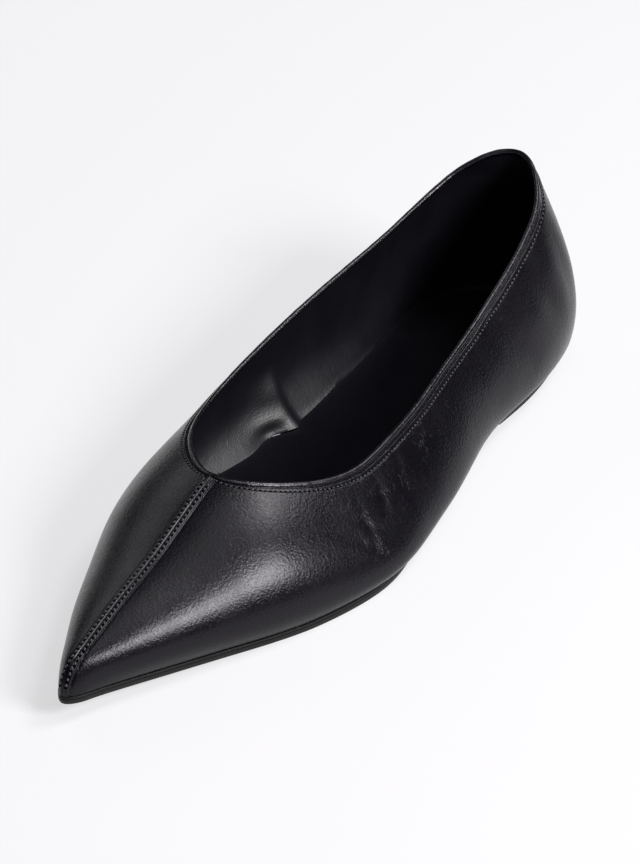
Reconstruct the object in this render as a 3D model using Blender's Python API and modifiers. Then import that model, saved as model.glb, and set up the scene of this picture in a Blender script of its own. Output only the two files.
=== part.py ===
"""Pointed toe flat shoe, left foot, empty and standing on its sole.

The shoe is lofted from a row of half sections of the last, one for each side. Each half section is a
cubic curve from the feather line, where the upper meets the sole, up to the centre line on top. The toe
and the heel are rounded by turning the section planes about a vertical line, like the pages of a book.
The upper, its binding, the insole, the outsole and the heel all take their shape from these sections.

Metres, +Z up. While it is worked out, Y runs from the toe tip (0) to the back of the heel and X towards
the outer side of the foot. At the end the shoe is set with the middle of its box above the origin.
"""
import math
from collections import namedtuple

import bmesh
import bpy
import numpy as np

COLLECTION_NAME = "Pointed_Toe_Flat_Shoe"

# Driving sizes of the last
LENGTH = 0.270
BALL_WIDTH = 0.083
HEEL_WIDTH = 0.056
INSTEP_HEIGHT = 0.050
BACK_HEIGHT = 0.0600
TOE_SPRING = 0.0062

# Throat of the collar, measured from the toe tip along the shoe
THROAT_SETBACK = 0.0820
THROAT_LENGTH = 0.046

# Walls and pieces
UPPER_WALL = 0.0017
OUTSOLE_THICKNESS = 0.0028
INSOLE_THICKNESS = 0.0020
HEEL_HEIGHT = 0.0024
BINDING_DIAMETER = 0.0019
SOLE_LEDGE = 0.0003
SOLE_DRAW = 0.0010
SOLE_BEVEL = 0.0012
HEEL_TAPER = 0.0004
TUCK_RADIUS = 0.0050
SEAM_WIDTH = 0.0038
SEAM_RISE = 0.0004
SEAM_SLOPE = 0.0005
CLEARANCE = 0.0003
INSOLE_CLEARANCE = 0.0005

# Where the sole leaves the ground, as shares of the length
SPRING_END = 0.30
WAIST_START = 0.42
WAIST_END = 0.72
DRAW_START = 0.38
DRAW_END = 0.60
HEEL_FRONT = 0.765

# Half sections of the last, from the toe tip to the back of the heel.
# place: centre of the section plane, share of LENGTH. turn: angle of the plane in degrees, 0 straight
# across, -90 towards the toe and 90 towards the heel. width: the size that the widths below are shares
# of. ridge: height of the centre line above the feather line, share of INSTEP_HEIGHT. drop: fall of the
# upper handle below the ridge, share of INSTEP_HEIGHT. Each side then has its edge (half width where the
# wall turns under towards the feather line), flare (how far the lower handle stands out beyond it), rise
# (height of that handle, share of INSTEP_HEIGHT), crown (half width of the upper handle) and tuck (angle
# from upright, in degrees, at which the wall turns in under the foot to meet the sole).
Side = namedtuple("Side", "edge flare rise crown tuck")
Station = namedtuple("Station", "place turn width ridge drop lateral medial")
STATIONS = (
    Station(0.018, -90, BALL_WIDTH, 0.186, 0.016,
            Side(0.048, -0.002, 0.084, 0.005, 5), Side(0.048, -0.002, 0.084, 0.005, 5)),
    Station(0.024, -45, BALL_WIDTH, 0.198, 0.016,
            Side(0.053, -0.004, 0.088, 0.014, 5), Side(0.055, 0.002, 0.092, 0.014, 5)),
    Station(0.037, -15, BALL_WIDTH, 0.232, 0.018,
            Side(0.069, 0.005, 0.114, 0.041, 10), Side(0.074, 0.020, 0.122, 0.042, 15)),
    Station(0.059, 0, BALL_WIDTH, 0.282, 0.024,
            Side(0.105, 0.025, 0.152, 0.077, 20), Side(0.112, 0.043, 0.154, 0.077, 25)),
    Station(0.111, 0, BALL_WIDTH, 0.398, 0.038,
            Side(0.184, 0.059, 0.198, 0.127, 30), Side(0.192, 0.077, 0.196, 0.124, 40)),
    Station(0.193, 0, BALL_WIDTH, 0.554, 0.040,
            Side(0.311, 0.083, 0.240, 0.193, 38), Side(0.296, 0.113, 0.258, 0.201, 45)),
    Station(0.281, 0, BALL_WIDTH, 0.754, 0.044,
            Side(0.448, 0.099, 0.266, 0.240, 40), Side(0.389, 0.140, 0.328, 0.284, 45)),
    Station(0.363, 0, BALL_WIDTH, 0.856, 0.048,
            Side(0.543, 0.077, 0.232, 0.206, 46), Side(0.424, 0.137, 0.358, 0.334, 45)),
    Station(0.437, 0, BALL_WIDTH, 0.928, 0.048,
            Side(0.588, 0.047, 0.198, 0.148, 64), Side(0.417, 0.119, 0.374, 0.369, 50)),
    Station(0.519, 0, BALL_WIDTH, 1.032, 0.048,
            Side(0.560, 0.039, 0.210, 0.088, 80), Side(0.390, 0.111, 0.426, 0.378, 65)),
    Station(0.611, 0, BALL_WIDTH, 1.098, 0.048,
            Side(0.502, 0.039, 0.244, 0.045, 85), Side(0.364, 0.105, 0.474, 0.369, 75)),
    Station(0.711, 0, HEEL_WIDTH, 1.134, 0.048,
            Side(0.631, 0.076, 0.308, 0.062, 80), Side(0.515, 0.142, 0.530, 0.504, 70)),
    Station(0.807, 0, HEEL_WIDTH, 1.194, 0.048,
            Side(0.608, 0.042, 0.396, 0.139, 60), Side(0.510, 0.111, 0.566, 0.455, 60)),
    Station(0.889, 8, HEEL_WIDTH, 1.276, 0.046,
            Side(0.552, 0.105, 0.466, 0.220, 55), Side(0.508, 0.111, 0.560, 0.425, 55)),
    Station(0.889, 35, HEEL_WIDTH, 1.370, 0.042,
            Side(0.545, 0.123, 0.510, 0.290, 55), Side(0.508, 0.112, 0.558, 0.416, 55)),
    Station(0.889, 63, HEEL_WIDTH, 1.526, 0.038,
            Side(0.520, 0.116, 0.550, 0.382, 55), Side(0.498, 0.108, 0.568, 0.436, 55)),
    Station(0.889, 90, HEEL_WIDTH, 1.698, 0.036,
            Side(0.492, 0.121, 0.586, 0.477, 55), Side(0.492, 0.121, 0.586, 0.477, 55)),
)
LEAST_TUCK = 8
TUCK_LEVEL = 0.14

# Height of the collar above the feather line on each side, as shares of BACK_HEIGHT.
# place: share of the way around the feather line from the toe tip to the back of the heel.
Collar = namedtuple("Collar", "place lateral medial")
COLLAR = (
    Collar(0.30, 0.50, 0.56),
    Collar(0.40, 0.48, 0.56),
    Collar(0.50, 0.48, 0.59),
    Collar(0.60, 0.49, 0.67),
    Collar(0.70, 0.54, 0.74),
    Collar(0.80, 0.68, 0.80),
    Collar(0.90, 0.86, 0.92),
    Collar(0.96, 0.95, 0.99),
    Collar(1.00, 1.00, 1.00),
)

# How finely the upper is divided
VAMP_COLUMNS = 17
THROAT_COLUMNS = 12
QUARTER_COLUMNS = 28
TUCK_ROWS = 3
WALL_ROWS = 10
VAMP_LEAN = 0.25
PLATE_STEPS = 44
PLATE_CELLS = 6
HEEL_STEPS = 12
SPRING_CURVE = 1.35
TOE_CROWDING = 1.15
BAND_LIMIT = 0.28
CREST_LIMIT = 0.20
SMOOTH_ANGLE = 40

# Small steps for directions and the distance below which corners are one
TIME_STEP = 0.0001
LEVEL_STEP = 0.0001
WELD = 0.000001

OUT, IN = 1, -1


def mix(start, end, share):
    """Point or number at a share of the way from start to end."""
    return start + (end - start) * share


def ease(share):
    """Smooth step from 0 to 1 with level ends."""
    share = min(max(share, 0.0), 1.0)
    return share * share * (3.0 - 2.0 * share)


def sole_height(y):
    """Height of the underside of the outsole above the ground at a distance from the toe tip."""
    along = y / LENGTH
    if along < SPRING_END:
        return TOE_SPRING * (1.0 - max(along, 0.0) / SPRING_END) ** SPRING_CURVE
    return (HEEL_HEIGHT + CLEARANCE) * ease((along - WAIST_START) / (WAIST_END - WAIST_START))


def feather_height(y):
    """Height of the bottom edge of the upper, just clear of the outsole."""
    return sole_height(y) + OUTSOLE_THICKNESS + CLEARANCE


def sole_inset(y):
    """How far the top edge of the outsole lies inside the feather line at a distance from the toe tip.

    It stands out a little at the forefoot and is drawn in under the waist and the heel.
    """
    return mix(-SOLE_LEDGE, SOLE_DRAW, drawn_in(y))


def sole_foot(y):
    """Inset of the outsole's underside, whose edge is bevelled along the waist and the heel."""
    return sole_inset(y) + SOLE_BEVEL * drawn_in(y)


def insole_inset(_):
    """Inset of the insole, the same all around."""
    return UPPER_WALL + INSOLE_CLEARANCE


def drawn_in(y):
    """Share from 0 at the forefoot to 1 at the waist and the heel."""
    return ease((y / LENGTH - DRAW_START) / (DRAW_END - DRAW_START))


def cubic(start, leave, arrive, end, share):
    """Point of a cubic curve with four handles."""
    rest = 1.0 - share
    return (rest ** 3 * start + 3 * rest ** 2 * share * leave
            + 3 * rest * share ** 2 * arrive + share ** 3 * end)


def half_section(station, side):
    """Four handles of one half section and its tuck angle, as a row of 13 numbers."""
    shape = station.lateral if side == OUT else station.medial
    turn = math.radians(station.turn)
    outward = np.array((side * math.cos(turn), math.sin(turn), 0.0))
    centre = np.array((0.0, station.place * LENGTH, 0.0))
    lean = math.atan2(shape.flare * station.width, shape.rise * INSTEP_HEIGHT)
    tuck = max(math.radians(shape.tuck), lean + math.radians(LEAST_TUCK))
    edge = centre + outward * shape.edge * station.width
    edge[2] = feather_height(edge[1]) + TUCK_RADIUS * (math.sin(tuck) - math.sin(lean))
    flare = edge + outward * shape.flare * station.width
    flare[2] += shape.rise * INSTEP_HEIGHT
    ridge = centre.copy()
    ridge[2] = feather_height(centre[1]) + station.ridge * INSTEP_HEIGHT
    crown = ridge + outward * shape.crown * station.width
    crown[2] -= station.drop * INSTEP_HEIGHT
    return np.concatenate((edge, flare, crown, ridge, (tuck,)))


class Last:
    """Smooth closed surface of the last through the half sections.

    A point has a time, which runs once around the shoe (0 at the toe tip, half at the back of the heel,
    full at the toe again), and a level, which runs from 0 at the feather line to 1 on the centre line.
    """

    def __init__(self):
        lateral = [half_section(station, OUT) for station in STATIONS]
        medial = [half_section(station, IN) for station in STATIONS]
        steps = []
        for here in range(len(STATIONS) - 1):
            spans = [np.linalg.norm((rail[here + 1] - rail[here])[:2]) for rail in (lateral, medial)]
            steps.append(sum(spans) / 2)
        self.values = np.array(lateral + medial[-2:0:-1])
        self.knots = np.concatenate(((0.0,), np.cumsum(steps + steps[::-1])))
        self.half = self.knots[len(steps)]
        self.bends = self.closed_curve_bends()

    def closed_curve_bends(self):
        """Second derivatives at the knots that make the closed rails smooth."""
        count = len(self.values)
        span = np.diff(self.knots)
        system = np.zeros((count, count))
        slope_change = np.zeros_like(self.values)
        for here in range(count):
            before = (here - 1) % count
            after = (here + 1) % count
            system[here, before] += span[before] / 6
            system[here, here] += (span[before] + span[here]) / 3
            system[here, after] += span[here] / 6
            ahead = (self.values[after] - self.values[here]) / span[here]
            behind = (self.values[here] - self.values[before]) / span[before]
            slope_change[here] = ahead - behind
        return np.linalg.solve(system, slope_change)

    def handles(self, time):
        """Edge, flare, crown and ridge handles of the section at a time, and its tuck angle."""
        time = time % self.knots[-1]
        here = min(int(np.searchsorted(self.knots, time, side="right")) - 1, len(self.values) - 1)
        after = (here + 1) % len(self.values)
        span = self.knots[here + 1] - self.knots[here]
        ahead = (time - self.knots[here]) / span
        behind = 1.0 - ahead
        straight = behind * self.values[here] + ahead * self.values[after]
        bend = (behind ** 3 - behind) * self.bends[here] + (ahead ** 3 - ahead) * self.bends[after]
        row = straight + bend * span * span / 6
        return row[0:3], row[3:6], row[6:9], row[9:12], row[12]

    def tuck(self, time):
        """Four handles of the short curve from the feather line up to the edge."""
        edge, flare, _, ridge, tuck = self.handles(time)
        outward = edge - ridge
        outward[2] = 0.0
        outward /= np.linalg.norm(outward)
        upward = np.array((0.0, 0.0, 1.0))
        lean = math.atan2((flare - edge) @ outward, flare[2] - edge[2])
        feather = edge - outward * TUCK_RADIUS * (math.cos(lean) - math.cos(tuck))
        feather[2] = feather_height(feather[1])
        reach = np.linalg.norm(edge - feather) / 3
        leave = feather + (outward * math.sin(tuck) + upward * math.cos(tuck)) * reach
        arrive = edge - (outward * math.sin(lean) + upward * math.cos(lean)) * reach
        return feather, leave, arrive, edge

    def point(self, time, level):
        """Point on the surface."""
        if level < TUCK_LEVEL:
            return cubic(*self.tuck(time), level / TUCK_LEVEL)
        return cubic(*self.handles(time)[:4], (level - TUCK_LEVEL) / (1.0 - TUCK_LEVEL))

    def normal(self, time, level):
        """Direction square to the surface, pointing out of the shoe."""
        along = self.point(time + TIME_STEP, level) - self.point(time - TIME_STEP, level)
        low, high = max(level - LEVEL_STEP, 0.0), min(level + LEVEL_STEP, 1.0)
        up = self.point(time, high) - self.point(time, low)
        across = np.cross(along, up)
        return across / np.linalg.norm(across)

    def level_at_height(self, time, height):
        """Level of the point that lies a given height above the feather line."""
        low, high = 0.0, 1.0
        target = self.point(time, 0.0)[2] + height
        for _ in range(30):
            middle = (low + high) / 2
            if self.point(time, middle)[2] < target:
                low = middle
            else:
                high = middle
        return (low + high) / 2

    def outline(self, time, inset):
        """Feather line seen from above, moved inward by an inset that depends on the distance from the toe."""
        ahead = self.point(time + TIME_STEP, 0.0) - self.point(time - TIME_STEP, 0.0)
        outward = np.array((ahead[1], -ahead[0])) / np.linalg.norm(ahead[:2])
        place = self.point(time, 0.0)
        return place[:2] - outward * inset(place[1])

    def time_at_place(self, y, level):
        """Time on the outer side at which a point of the given level lies at y."""
        low, high = 0.0, self.half
        for _ in range(40):
            middle = (low + high) / 2
            if self.point(middle, level)[1] < y:
                low = middle
            else:
                high = middle
        return (low + high) / 2


def side_time(last, time, side):
    """Time on the chosen side that lies opposite a time on the outer side."""
    return time if side == OUT else 2 * last.half - time


def collar_height(along, side):
    """Height of the collar above the feather line at a share of the way to the back of the heel."""
    places = np.array([row.place for row in COLLAR])
    heights = np.array([row.lateral if side == OUT else row.medial for row in COLLAR])
    slopes = np.gradient(heights, places)
    slopes[0] = slopes[-1] = 0.0
    along = min(max(along, places[0]), places[-1])
    here = min(int(np.searchsorted(places, along, side="right")) - 1, len(places) - 2)
    span = places[here + 1] - places[here]
    share = (along - places[here]) / span
    lean = (slopes[here] * (1.0 - share) - slopes[here + 1] * share) * span * share * (1.0 - share)
    return (mix(heights[here], heights[here + 1], ease(share)) + lean) * BACK_HEIGHT


def wall_columns(last, side):
    """Times and top levels of the columns of one side: bottom time, top time, top level, on the ridge."""
    throat = last.time_at_place(THROAT_SETBACK, 1.0)
    opened = last.time_at_place(THROAT_SETBACK + THROAT_LENGTH, 1.0)
    lean = VAMP_LEAN * (opened - throat)
    columns = []
    for index in range(VAMP_COLUMNS):
        share = (index / VAMP_COLUMNS) ** TOE_CROWDING
        columns.append((share * (throat - lean), share * throat, 1.0, True))
    for index in range(THROAT_COLUMNS):
        angle = index / THROAT_COLUMNS * math.pi / 2
        top = throat + (opened - throat) * (1.0 - math.cos(angle))
        bottom = mix(throat - lean, opened, index / THROAT_COLUMNS)
        columns.append((bottom, top, collar_level(last, top, side, 1.0 - math.sin(angle)), index == 0))
    for index in range(QUARTER_COLUMNS + 1):
        time = mix(opened, last.half, index / QUARTER_COLUMNS)
        columns.append((time, time, collar_level(last, time, side, 0.0), False))
    return columns


def collar_level(last, time, side, rounding):
    """Level of the collar at a time, drawn up to the ridge by the rounding of the throat."""
    low = last.level_at_height(side_time(last, time, side), collar_height(time / last.half, side))
    return mix(low, 1.0, rounding)


def seam_rise(last, time, level):
    """How far the raised seam lifts the surface at a point of the vamp."""
    aside = abs(last.point(time, level)[0])
    return SEAM_RISE * ease((SEAM_WIDTH / 2 - aside) / SEAM_SLOPE)


def ridge_normal(last, time):
    """Direction square to the centre line, with no lean to either side."""
    upright = last.normal(time, 1.0) * (0.0, 1.0, 1.0)
    return upright / np.linalg.norm(upright)


def vamp_point(last, time, level):
    """Point of the vamp with the raised seam on it."""
    if level == 1.0:
        time = min(time, 2 * last.half - time)
        return last.point(time, 1.0) + ridge_normal(last, time) * SEAM_RISE
    return last.point(time, level) + last.normal(time, level) * seam_rise(last, time, level)


def wall_levels(last, time, top):
    """Levels of the rows of one column; on the vamp the last rows lie on the edges of the seam."""
    throat = last.time_at_place(THROAT_SETBACK, 1.0)
    crown, ridge = last.handles(min(time, throat))[2:4]
    reach = 3 * np.linalg.norm(crown - ridge) / (1.0 - TUCK_LEVEL)
    outer = 1.0 - min(SEAM_WIDTH / 2 / reach, BAND_LIMIT)
    inner = 1.0 - min((SEAM_WIDTH / 2 - SEAM_SLOPE) / reach, CREST_LIMIT)
    low = [TUCK_LEVEL * index / TUCK_ROWS for index in range(TUCK_ROWS)]
    wall = [mix(TUCK_LEVEL, top * outer, index / WALL_ROWS) for index in range(WALL_ROWS + 1)]
    return low + wall + [top * inner, top]


def new_object(name, mesh, material):
    """Object in the shoe's collection with one material."""
    made = bpy.data.objects.new(name, mesh)
    bpy.data.collections[COLLECTION_NAME].objects.link(made)
    mesh.materials.append(material)
    return made


def leather(name, colour, roughness):
    """Principled material with a colour and a roughness."""
    material = bpy.data.materials.new(name)
    material.use_nodes = True
    shader = material.node_tree.nodes["Principled BSDF"]
    shader.inputs["Base Color"].default_value = (*colour, 1.0)
    shader.inputs["Roughness"].default_value = roughness
    shader.inputs["Metallic"].default_value = 0.0
    material.diffuse_color = (*colour, 1.0)
    return material


def finish(shape, name):
    """Weld the shape's shared corners and turn it into a smooth shaded mesh."""
    bmesh.ops.remove_doubles(shape, verts=shape.verts, dist=WELD)
    mesh = bpy.data.meshes.new(name)
    shape.to_mesh(mesh)
    shape.free()
    mesh.shade_smooth()
    mesh.set_sharp_from_angle(angle=math.radians(SMOOTH_ANGLE))
    return mesh


def add_grid(shape, rows, flipped=False):
    """Quads between neighbouring rows of points."""
    corners = [[shape.verts.new(point) for point in row] for row in rows]
    for lower, upper in zip(corners, corners[1:]):
        for index in range(len(lower) - 1):
            loop = [lower[index], upper[index], upper[index + 1], lower[index + 1]]
            shape.faces.new(loop[::-1] if flipped else loop)


def make_upper(last):
    """Leather shell: the outer surface of the last as an open sheet, given its wall inward."""
    shape = bmesh.new()
    for side in (OUT, IN):
        columns = []
        for bottom, top, top_level, on_ridge in wall_columns(last, side):
            column = []
            for level in wall_levels(last, top, top_level):
                time = side_time(last, mix(bottom, top, level / top_level), side)
                column.append(vamp_point(last, time, level) if on_ridge else last.point(time, level))
            columns.append(column)
        add_grid(shape, columns, flipped=side == IN)
    sheet = new_object("upper", finish(shape, "upper"), leather("black_leather", (0.012, 0.012, 0.013), 0.42))
    wall = sheet.modifiers.new("wall", "SOLIDIFY")
    wall.thickness = UPPER_WALL
    wall.offset = -1.0
    wall.use_even_offset = False
    wall.use_quality_normals = True
    return sheet


def collar_path(last):
    """Centre points of the binding, all around the collar."""
    edge = []
    for side in (OUT, IN):
        run = []
        for _, time, level, _ in wall_columns(last, side)[VAMP_COLUMNS:]:
            placed = side_time(last, time, side)
            run.append((placed, level))
        edge += run if side == OUT else run[-2:0:-1]
    points = [last.point(time, level) for time, level in edge]
    centres = []
    for index, (time, level) in enumerate(edge):
        tangent = points[(index + 1) % len(points)] - points[index - 1]
        normal = ridge_normal(last, time) if index == 0 else last.normal(time, level)
        upward = np.cross(normal, tangent)
        upward /= np.linalg.norm(upward)
        lift = BINDING_DIAMETER / 2 + CLEARANCE
        centres.append(points[index] - normal * UPPER_WALL / 2 + upward * lift)
    return centres


def make_binding(last):
    """Thin rolled edge around the collar, a closed tube that lies just clear of the upper's rim."""
    path = collar_path(last)
    curve = bpy.data.curves.new("topline_binding", "CURVE")
    curve.dimensions = "3D"
    curve.bevel_depth = BINDING_DIAMETER / 2
    curve.bevel_resolution = 2
    run = curve.splines.new("POLY")
    run.points.add(len(path) - 1)
    for point, place in zip(run.points, path):
        point.co = (*place, 1.0)
    run.use_cyclic_u = True
    return new_object("topline_binding", curve, leather("binding_leather", (0.010, 0.010, 0.011), 0.50))


def rounded_share(share, start):
    """Share of a run, crowded towards its rounded ends: both ends, or only the last after a cut front."""
    if start > 0.0:
        return math.sin(share * math.pi / 2)
    return (1.0 - math.cos(share * math.pi)) / 2


def make_plate(last, name, material, start, steps, low, high):
    """Solid plate between two outlines: low and high each give the inset of the edge and a height."""
    shape = bmesh.new()
    times = [mix(start, last.half, rounded_share(index / steps, start)) for index in range(steps + 1)]
    faces = []
    for inset, height in (low, high):
        rows = []
        for time in times:
            outer = last.outline(time, inset)
            inner = last.outline(side_time(last, time, IN), inset)
            across = [mix(outer, inner, cell / PLATE_CELLS) for cell in range(PLATE_CELLS + 1)]
            rows.append([(x, y, height(y)) for x, y in across])
        faces.append(rows)
    under, top = faces
    add_grid(shape, under, flipped=True)
    add_grid(shape, top)
    add_grid(shape, [[row[0] for row in under], [row[0] for row in top]], flipped=True)
    add_grid(shape, [[row[-1] for row in under], [row[-1] for row in top]])
    if start > 0.0:
        add_grid(shape, [under[0], top[0]])
    return new_object(name, finish(shape, name), material)


def make_sole_pieces(last):
    """Outsole, insole and heel from the same feather outline."""
    outsole = make_plate(
        last, "outsole", leather("outsole_rubber", (0.014, 0.014, 0.014), 0.62), 0.0, PLATE_STEPS,
        (sole_foot, sole_height),
        (sole_inset, lambda y: sole_height(y) + OUTSOLE_THICKNESS))
    insole = make_plate(
        last, "insole", leather("insole_lining", (0.013, 0.013, 0.014), 0.55), 0.0, PLATE_STEPS,
        (insole_inset, feather_height),
        (insole_inset, lambda y: feather_height(y) + INSOLE_THICKNESS))
    heel = make_plate(
        last, "heel", leather("heel_rubber", (0.012, 0.012, 0.012), 0.60),
        last.time_at_place(HEEL_FRONT * LENGTH, 0.0), HEEL_STEPS,
        (lambda y: sole_foot(y) + HEEL_TAPER, lambda y: 0.0),
        (sole_foot, lambda y: HEEL_HEIGHT))
    return [outsole, insole, heel]


def stand_over_origin(pieces):
    """Move the shoe so that the middle of its box lies above the origin."""
    bpy.context.view_layer.update()
    graph = bpy.context.evaluated_depsgraph_get()
    corners = []
    for piece in pieces:
        seen = piece.evaluated_get(graph)
        corners += [vertex.co.copy() for vertex in seen.to_mesh().vertices]
        seen.to_mesh_clear()
    low = [min(corner[axis] for corner in corners) for axis in range(3)]
    high = [max(corner[axis] for corner in corners) for axis in range(3)]
    for piece in pieces:
        piece.location = (-(low[0] + high[0]) / 2, -(low[1] + high[1]) / 2, 0.0)


def main():
    """Build the shoe."""
    for old in list(bpy.data.objects):
        bpy.data.objects.remove(old, do_unlink=True)
    group = bpy.data.collections.new(COLLECTION_NAME)
    bpy.context.scene.collection.children.link(group)
    last = Last()
    pieces = [make_upper(last), make_binding(last)] + make_sole_pieces(last)
    stand_over_origin(pieces)


main()
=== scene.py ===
"""Looks of the pointed toe flat shoe, left foot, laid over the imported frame.

The visible pieces take their shape from the same sections of the last as the solids: a finer upper with its
raised seam, creases and lining, the rolled topline, thread, the sock inside, the outsole and the heel.
Lengths are in metres unless a comment says millimetres.
"""
import logging
import math
from dataclasses import dataclass, field
from enum import Enum
from typing import Callable

import bmesh
import bpy
import numpy as np
from mathutils import Matrix, Vector


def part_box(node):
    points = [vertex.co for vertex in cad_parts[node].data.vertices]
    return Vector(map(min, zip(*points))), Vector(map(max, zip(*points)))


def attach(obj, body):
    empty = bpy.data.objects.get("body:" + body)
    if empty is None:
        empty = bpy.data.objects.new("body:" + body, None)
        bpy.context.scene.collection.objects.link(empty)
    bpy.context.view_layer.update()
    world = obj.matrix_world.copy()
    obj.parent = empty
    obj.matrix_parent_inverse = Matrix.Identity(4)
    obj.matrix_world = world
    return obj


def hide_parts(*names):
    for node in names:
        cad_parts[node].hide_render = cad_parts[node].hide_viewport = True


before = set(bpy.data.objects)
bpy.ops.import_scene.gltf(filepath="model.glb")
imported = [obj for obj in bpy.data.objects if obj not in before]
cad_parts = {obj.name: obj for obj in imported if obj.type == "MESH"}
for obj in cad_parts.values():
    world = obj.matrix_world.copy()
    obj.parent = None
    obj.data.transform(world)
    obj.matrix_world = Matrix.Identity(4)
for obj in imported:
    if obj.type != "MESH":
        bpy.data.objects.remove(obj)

LOG = logging.getLogger("pointed_flat")

LENGTH = 0.270
BALL_WIDTH = 0.083
HEEL_WIDTH = 0.056
INSTEP_HEIGHT = 0.050
BACK_HEIGHT = 0.0600
TOE_SPRING = 0.0062
THROAT_SETBACK = 0.0820
THROAT_LENGTH = 0.046
UPPER_WALL = 0.0017
OUTSOLE_THICKNESS = 0.0028
INSOLE_THICKNESS = 0.0020
HEEL_HEIGHT = 0.0024
SOLE_LEDGE = 0.0003
SOLE_DRAW = 0.0010
SOLE_BEVEL = 0.0012
HEEL_TAPER = 0.0004
TUCK_RADIUS = 0.0050
SEAM_WIDTH = 0.0038
SEAM_RISE = 0.0004
SEAM_SLOPE = 0.0005
CLEARANCE = 0.0003
SPRING_END = 0.30
SPRING_CURVE = 1.35
WAIST_START = 0.42
WAIST_END = 0.72
DRAW_START = 0.38
DRAW_END = 0.60
HEEL_FRONT = 0.765
LEAST_TUCK = 8
TUCK_LEVEL = 0.14
VAMP_LEAN = 0.25
TOE_CROWDING = 1.4

# Small steps for slopes, counts of samples along curves, the distance within which points are welded, how far
# the tread's marking reaches up from the underside, and the share above which a column ends on the seam
TIME_STEP = 1e-4
LEVEL_STEP = 1e-4
RIM_SAMPLES = 2000
TIME_SAMPLES = 6000
HALVINGS = 26
COLUMN_SAMPLES = 241
WELD = 2e-6
UNDERSIDE_BAND = 0.0003
ON_SEAM = 0.9999

# Unevenness of the stitches: turn to either side in radians, and the seed of its draws
STITCH_WOBBLE = 0.07
STITCH_SEED = 11

# Sections of the last: place, turn, width, ridge, drop, then edge, flare, rise, crown and tuck of the outer
# and of the inner side
STATIONS = (
    (0.018, -90, BALL_WIDTH, 0.186, 0.016,
     (0.048, -0.002, 0.084, 0.005, 5), (0.048, -0.002, 0.084, 0.005, 5)),
    (0.024, -45, BALL_WIDTH, 0.198, 0.016, (0.053, -0.004, 0.088, 0.014, 5), (0.055, 0.002, 0.092, 0.014, 5)),
    (0.037, -15, BALL_WIDTH, 0.232, 0.018,
     (0.069, 0.005, 0.114, 0.041, 10), (0.074, 0.020, 0.122, 0.042, 15)),
    (0.059, 0, BALL_WIDTH, 0.282, 0.024, (0.105, 0.025, 0.152, 0.077, 20), (0.112, 0.043, 0.154, 0.077, 25)),
    (0.111, 0, BALL_WIDTH, 0.398, 0.038, (0.184, 0.059, 0.198, 0.127, 30), (0.192, 0.077, 0.196, 0.124, 40)),
    (0.193, 0, BALL_WIDTH, 0.554, 0.040, (0.311, 0.083, 0.240, 0.193, 38), (0.296, 0.113, 0.258, 0.201, 45)),
    (0.281, 0, BALL_WIDTH, 0.754, 0.044, (0.448, 0.099, 0.266, 0.240, 40), (0.389, 0.140, 0.328, 0.284, 45)),
    (0.363, 0, BALL_WIDTH, 0.856, 0.048, (0.543, 0.077, 0.232, 0.206, 46), (0.424, 0.137, 0.358, 0.334, 45)),
    (0.437, 0, BALL_WIDTH, 0.928, 0.048, (0.588, 0.047, 0.198, 0.148, 64), (0.417, 0.119, 0.374, 0.369, 50)),
    (0.519, 0, BALL_WIDTH, 1.032, 0.048, (0.560, 0.039, 0.210, 0.088, 80), (0.390, 0.111, 0.426, 0.378, 65)),
    (0.611, 0, BALL_WIDTH, 1.098, 0.048, (0.502, 0.039, 0.244, 0.045, 85), (0.364, 0.105, 0.474, 0.369, 75)),
    (0.711, 0, HEEL_WIDTH, 1.134, 0.048, (0.631, 0.076, 0.308, 0.062, 80), (0.515, 0.142, 0.530, 0.504, 70)),
    (0.807, 0, HEEL_WIDTH, 1.194, 0.048, (0.608, 0.042, 0.396, 0.139, 60), (0.510, 0.111, 0.566, 0.455, 60)),
    (0.889, 8, HEEL_WIDTH, 1.276, 0.046, (0.552, 0.105, 0.466, 0.220, 55), (0.508, 0.111, 0.560, 0.425, 55)),
    (0.889, 35, HEEL_WIDTH, 1.370, 0.042, (0.545, 0.123, 0.510, 0.290, 55), (0.508, 0.112, 0.558, 0.416, 55)),
    (0.889, 63, HEEL_WIDTH, 1.526, 0.038, (0.520, 0.116, 0.550, 0.382, 55), (0.498, 0.108, 0.568, 0.436, 55)),
    (0.889, 90, HEEL_WIDTH, 1.698, 0.036, (0.492, 0.121, 0.586, 0.477, 55), (0.492, 0.121, 0.586, 0.477, 55)),
)

# Collar height above the feather line: share of the way around, outer and inner share of the back height
COLLAR = ((0.30, 0.50, 0.56), (0.40, 0.48, 0.56), (0.50, 0.48, 0.59), (0.60, 0.49, 0.67), (0.70, 0.54, 0.74),
          (0.80, 0.68, 0.80), (0.90, 0.86, 0.92), (0.96, 0.95, 0.99), (1.00, 1.00, 1.00))

# Edge profiles of the outsole and the heel, upwards: inset and height above the underside in millimetres
OUTSOLE_RIM = ((0.75, 0.0), (0.35, 0.06), (0.10, 0.25), (0.0, 0.55), (0.0, 1.75), (0.22, 1.86), (0.22, 2.02),
               (0.0, 2.12), (0.02, 2.50), (0.18, 2.74), (0.60, 2.80))
HEEL_RIM = ((0.50, 0.0), (0.12, 0.07), (0.0, 0.28), (0.0, 1.50), (0.12, 1.58), (0.0, 1.66), (0.0, 2.20),
            (0.10, 2.36), (0.30, 2.40))

# Slight unevenness of hand-lasted leather: height in millimetres, then two sines, each with the distance in
# millimetres over which it turns by one radian along X, Y and Z, and its start
WAVES = ((0.055, ((math.inf, 7.3, 5.1), 0.8), ((-8.9, math.inf, 6.7), 1.7)),
         (0.022, ((math.inf, 3.4, -4.2), 2.1), ((3.7, math.inf, 3.1), 0.4)))
# The toe stays calm: share of the waves there, where they begin to grow and over how far, millimetres
CALM_SHARE, CALM_END, CALM_REACH = 0.35, 90.0, 60.0

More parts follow.
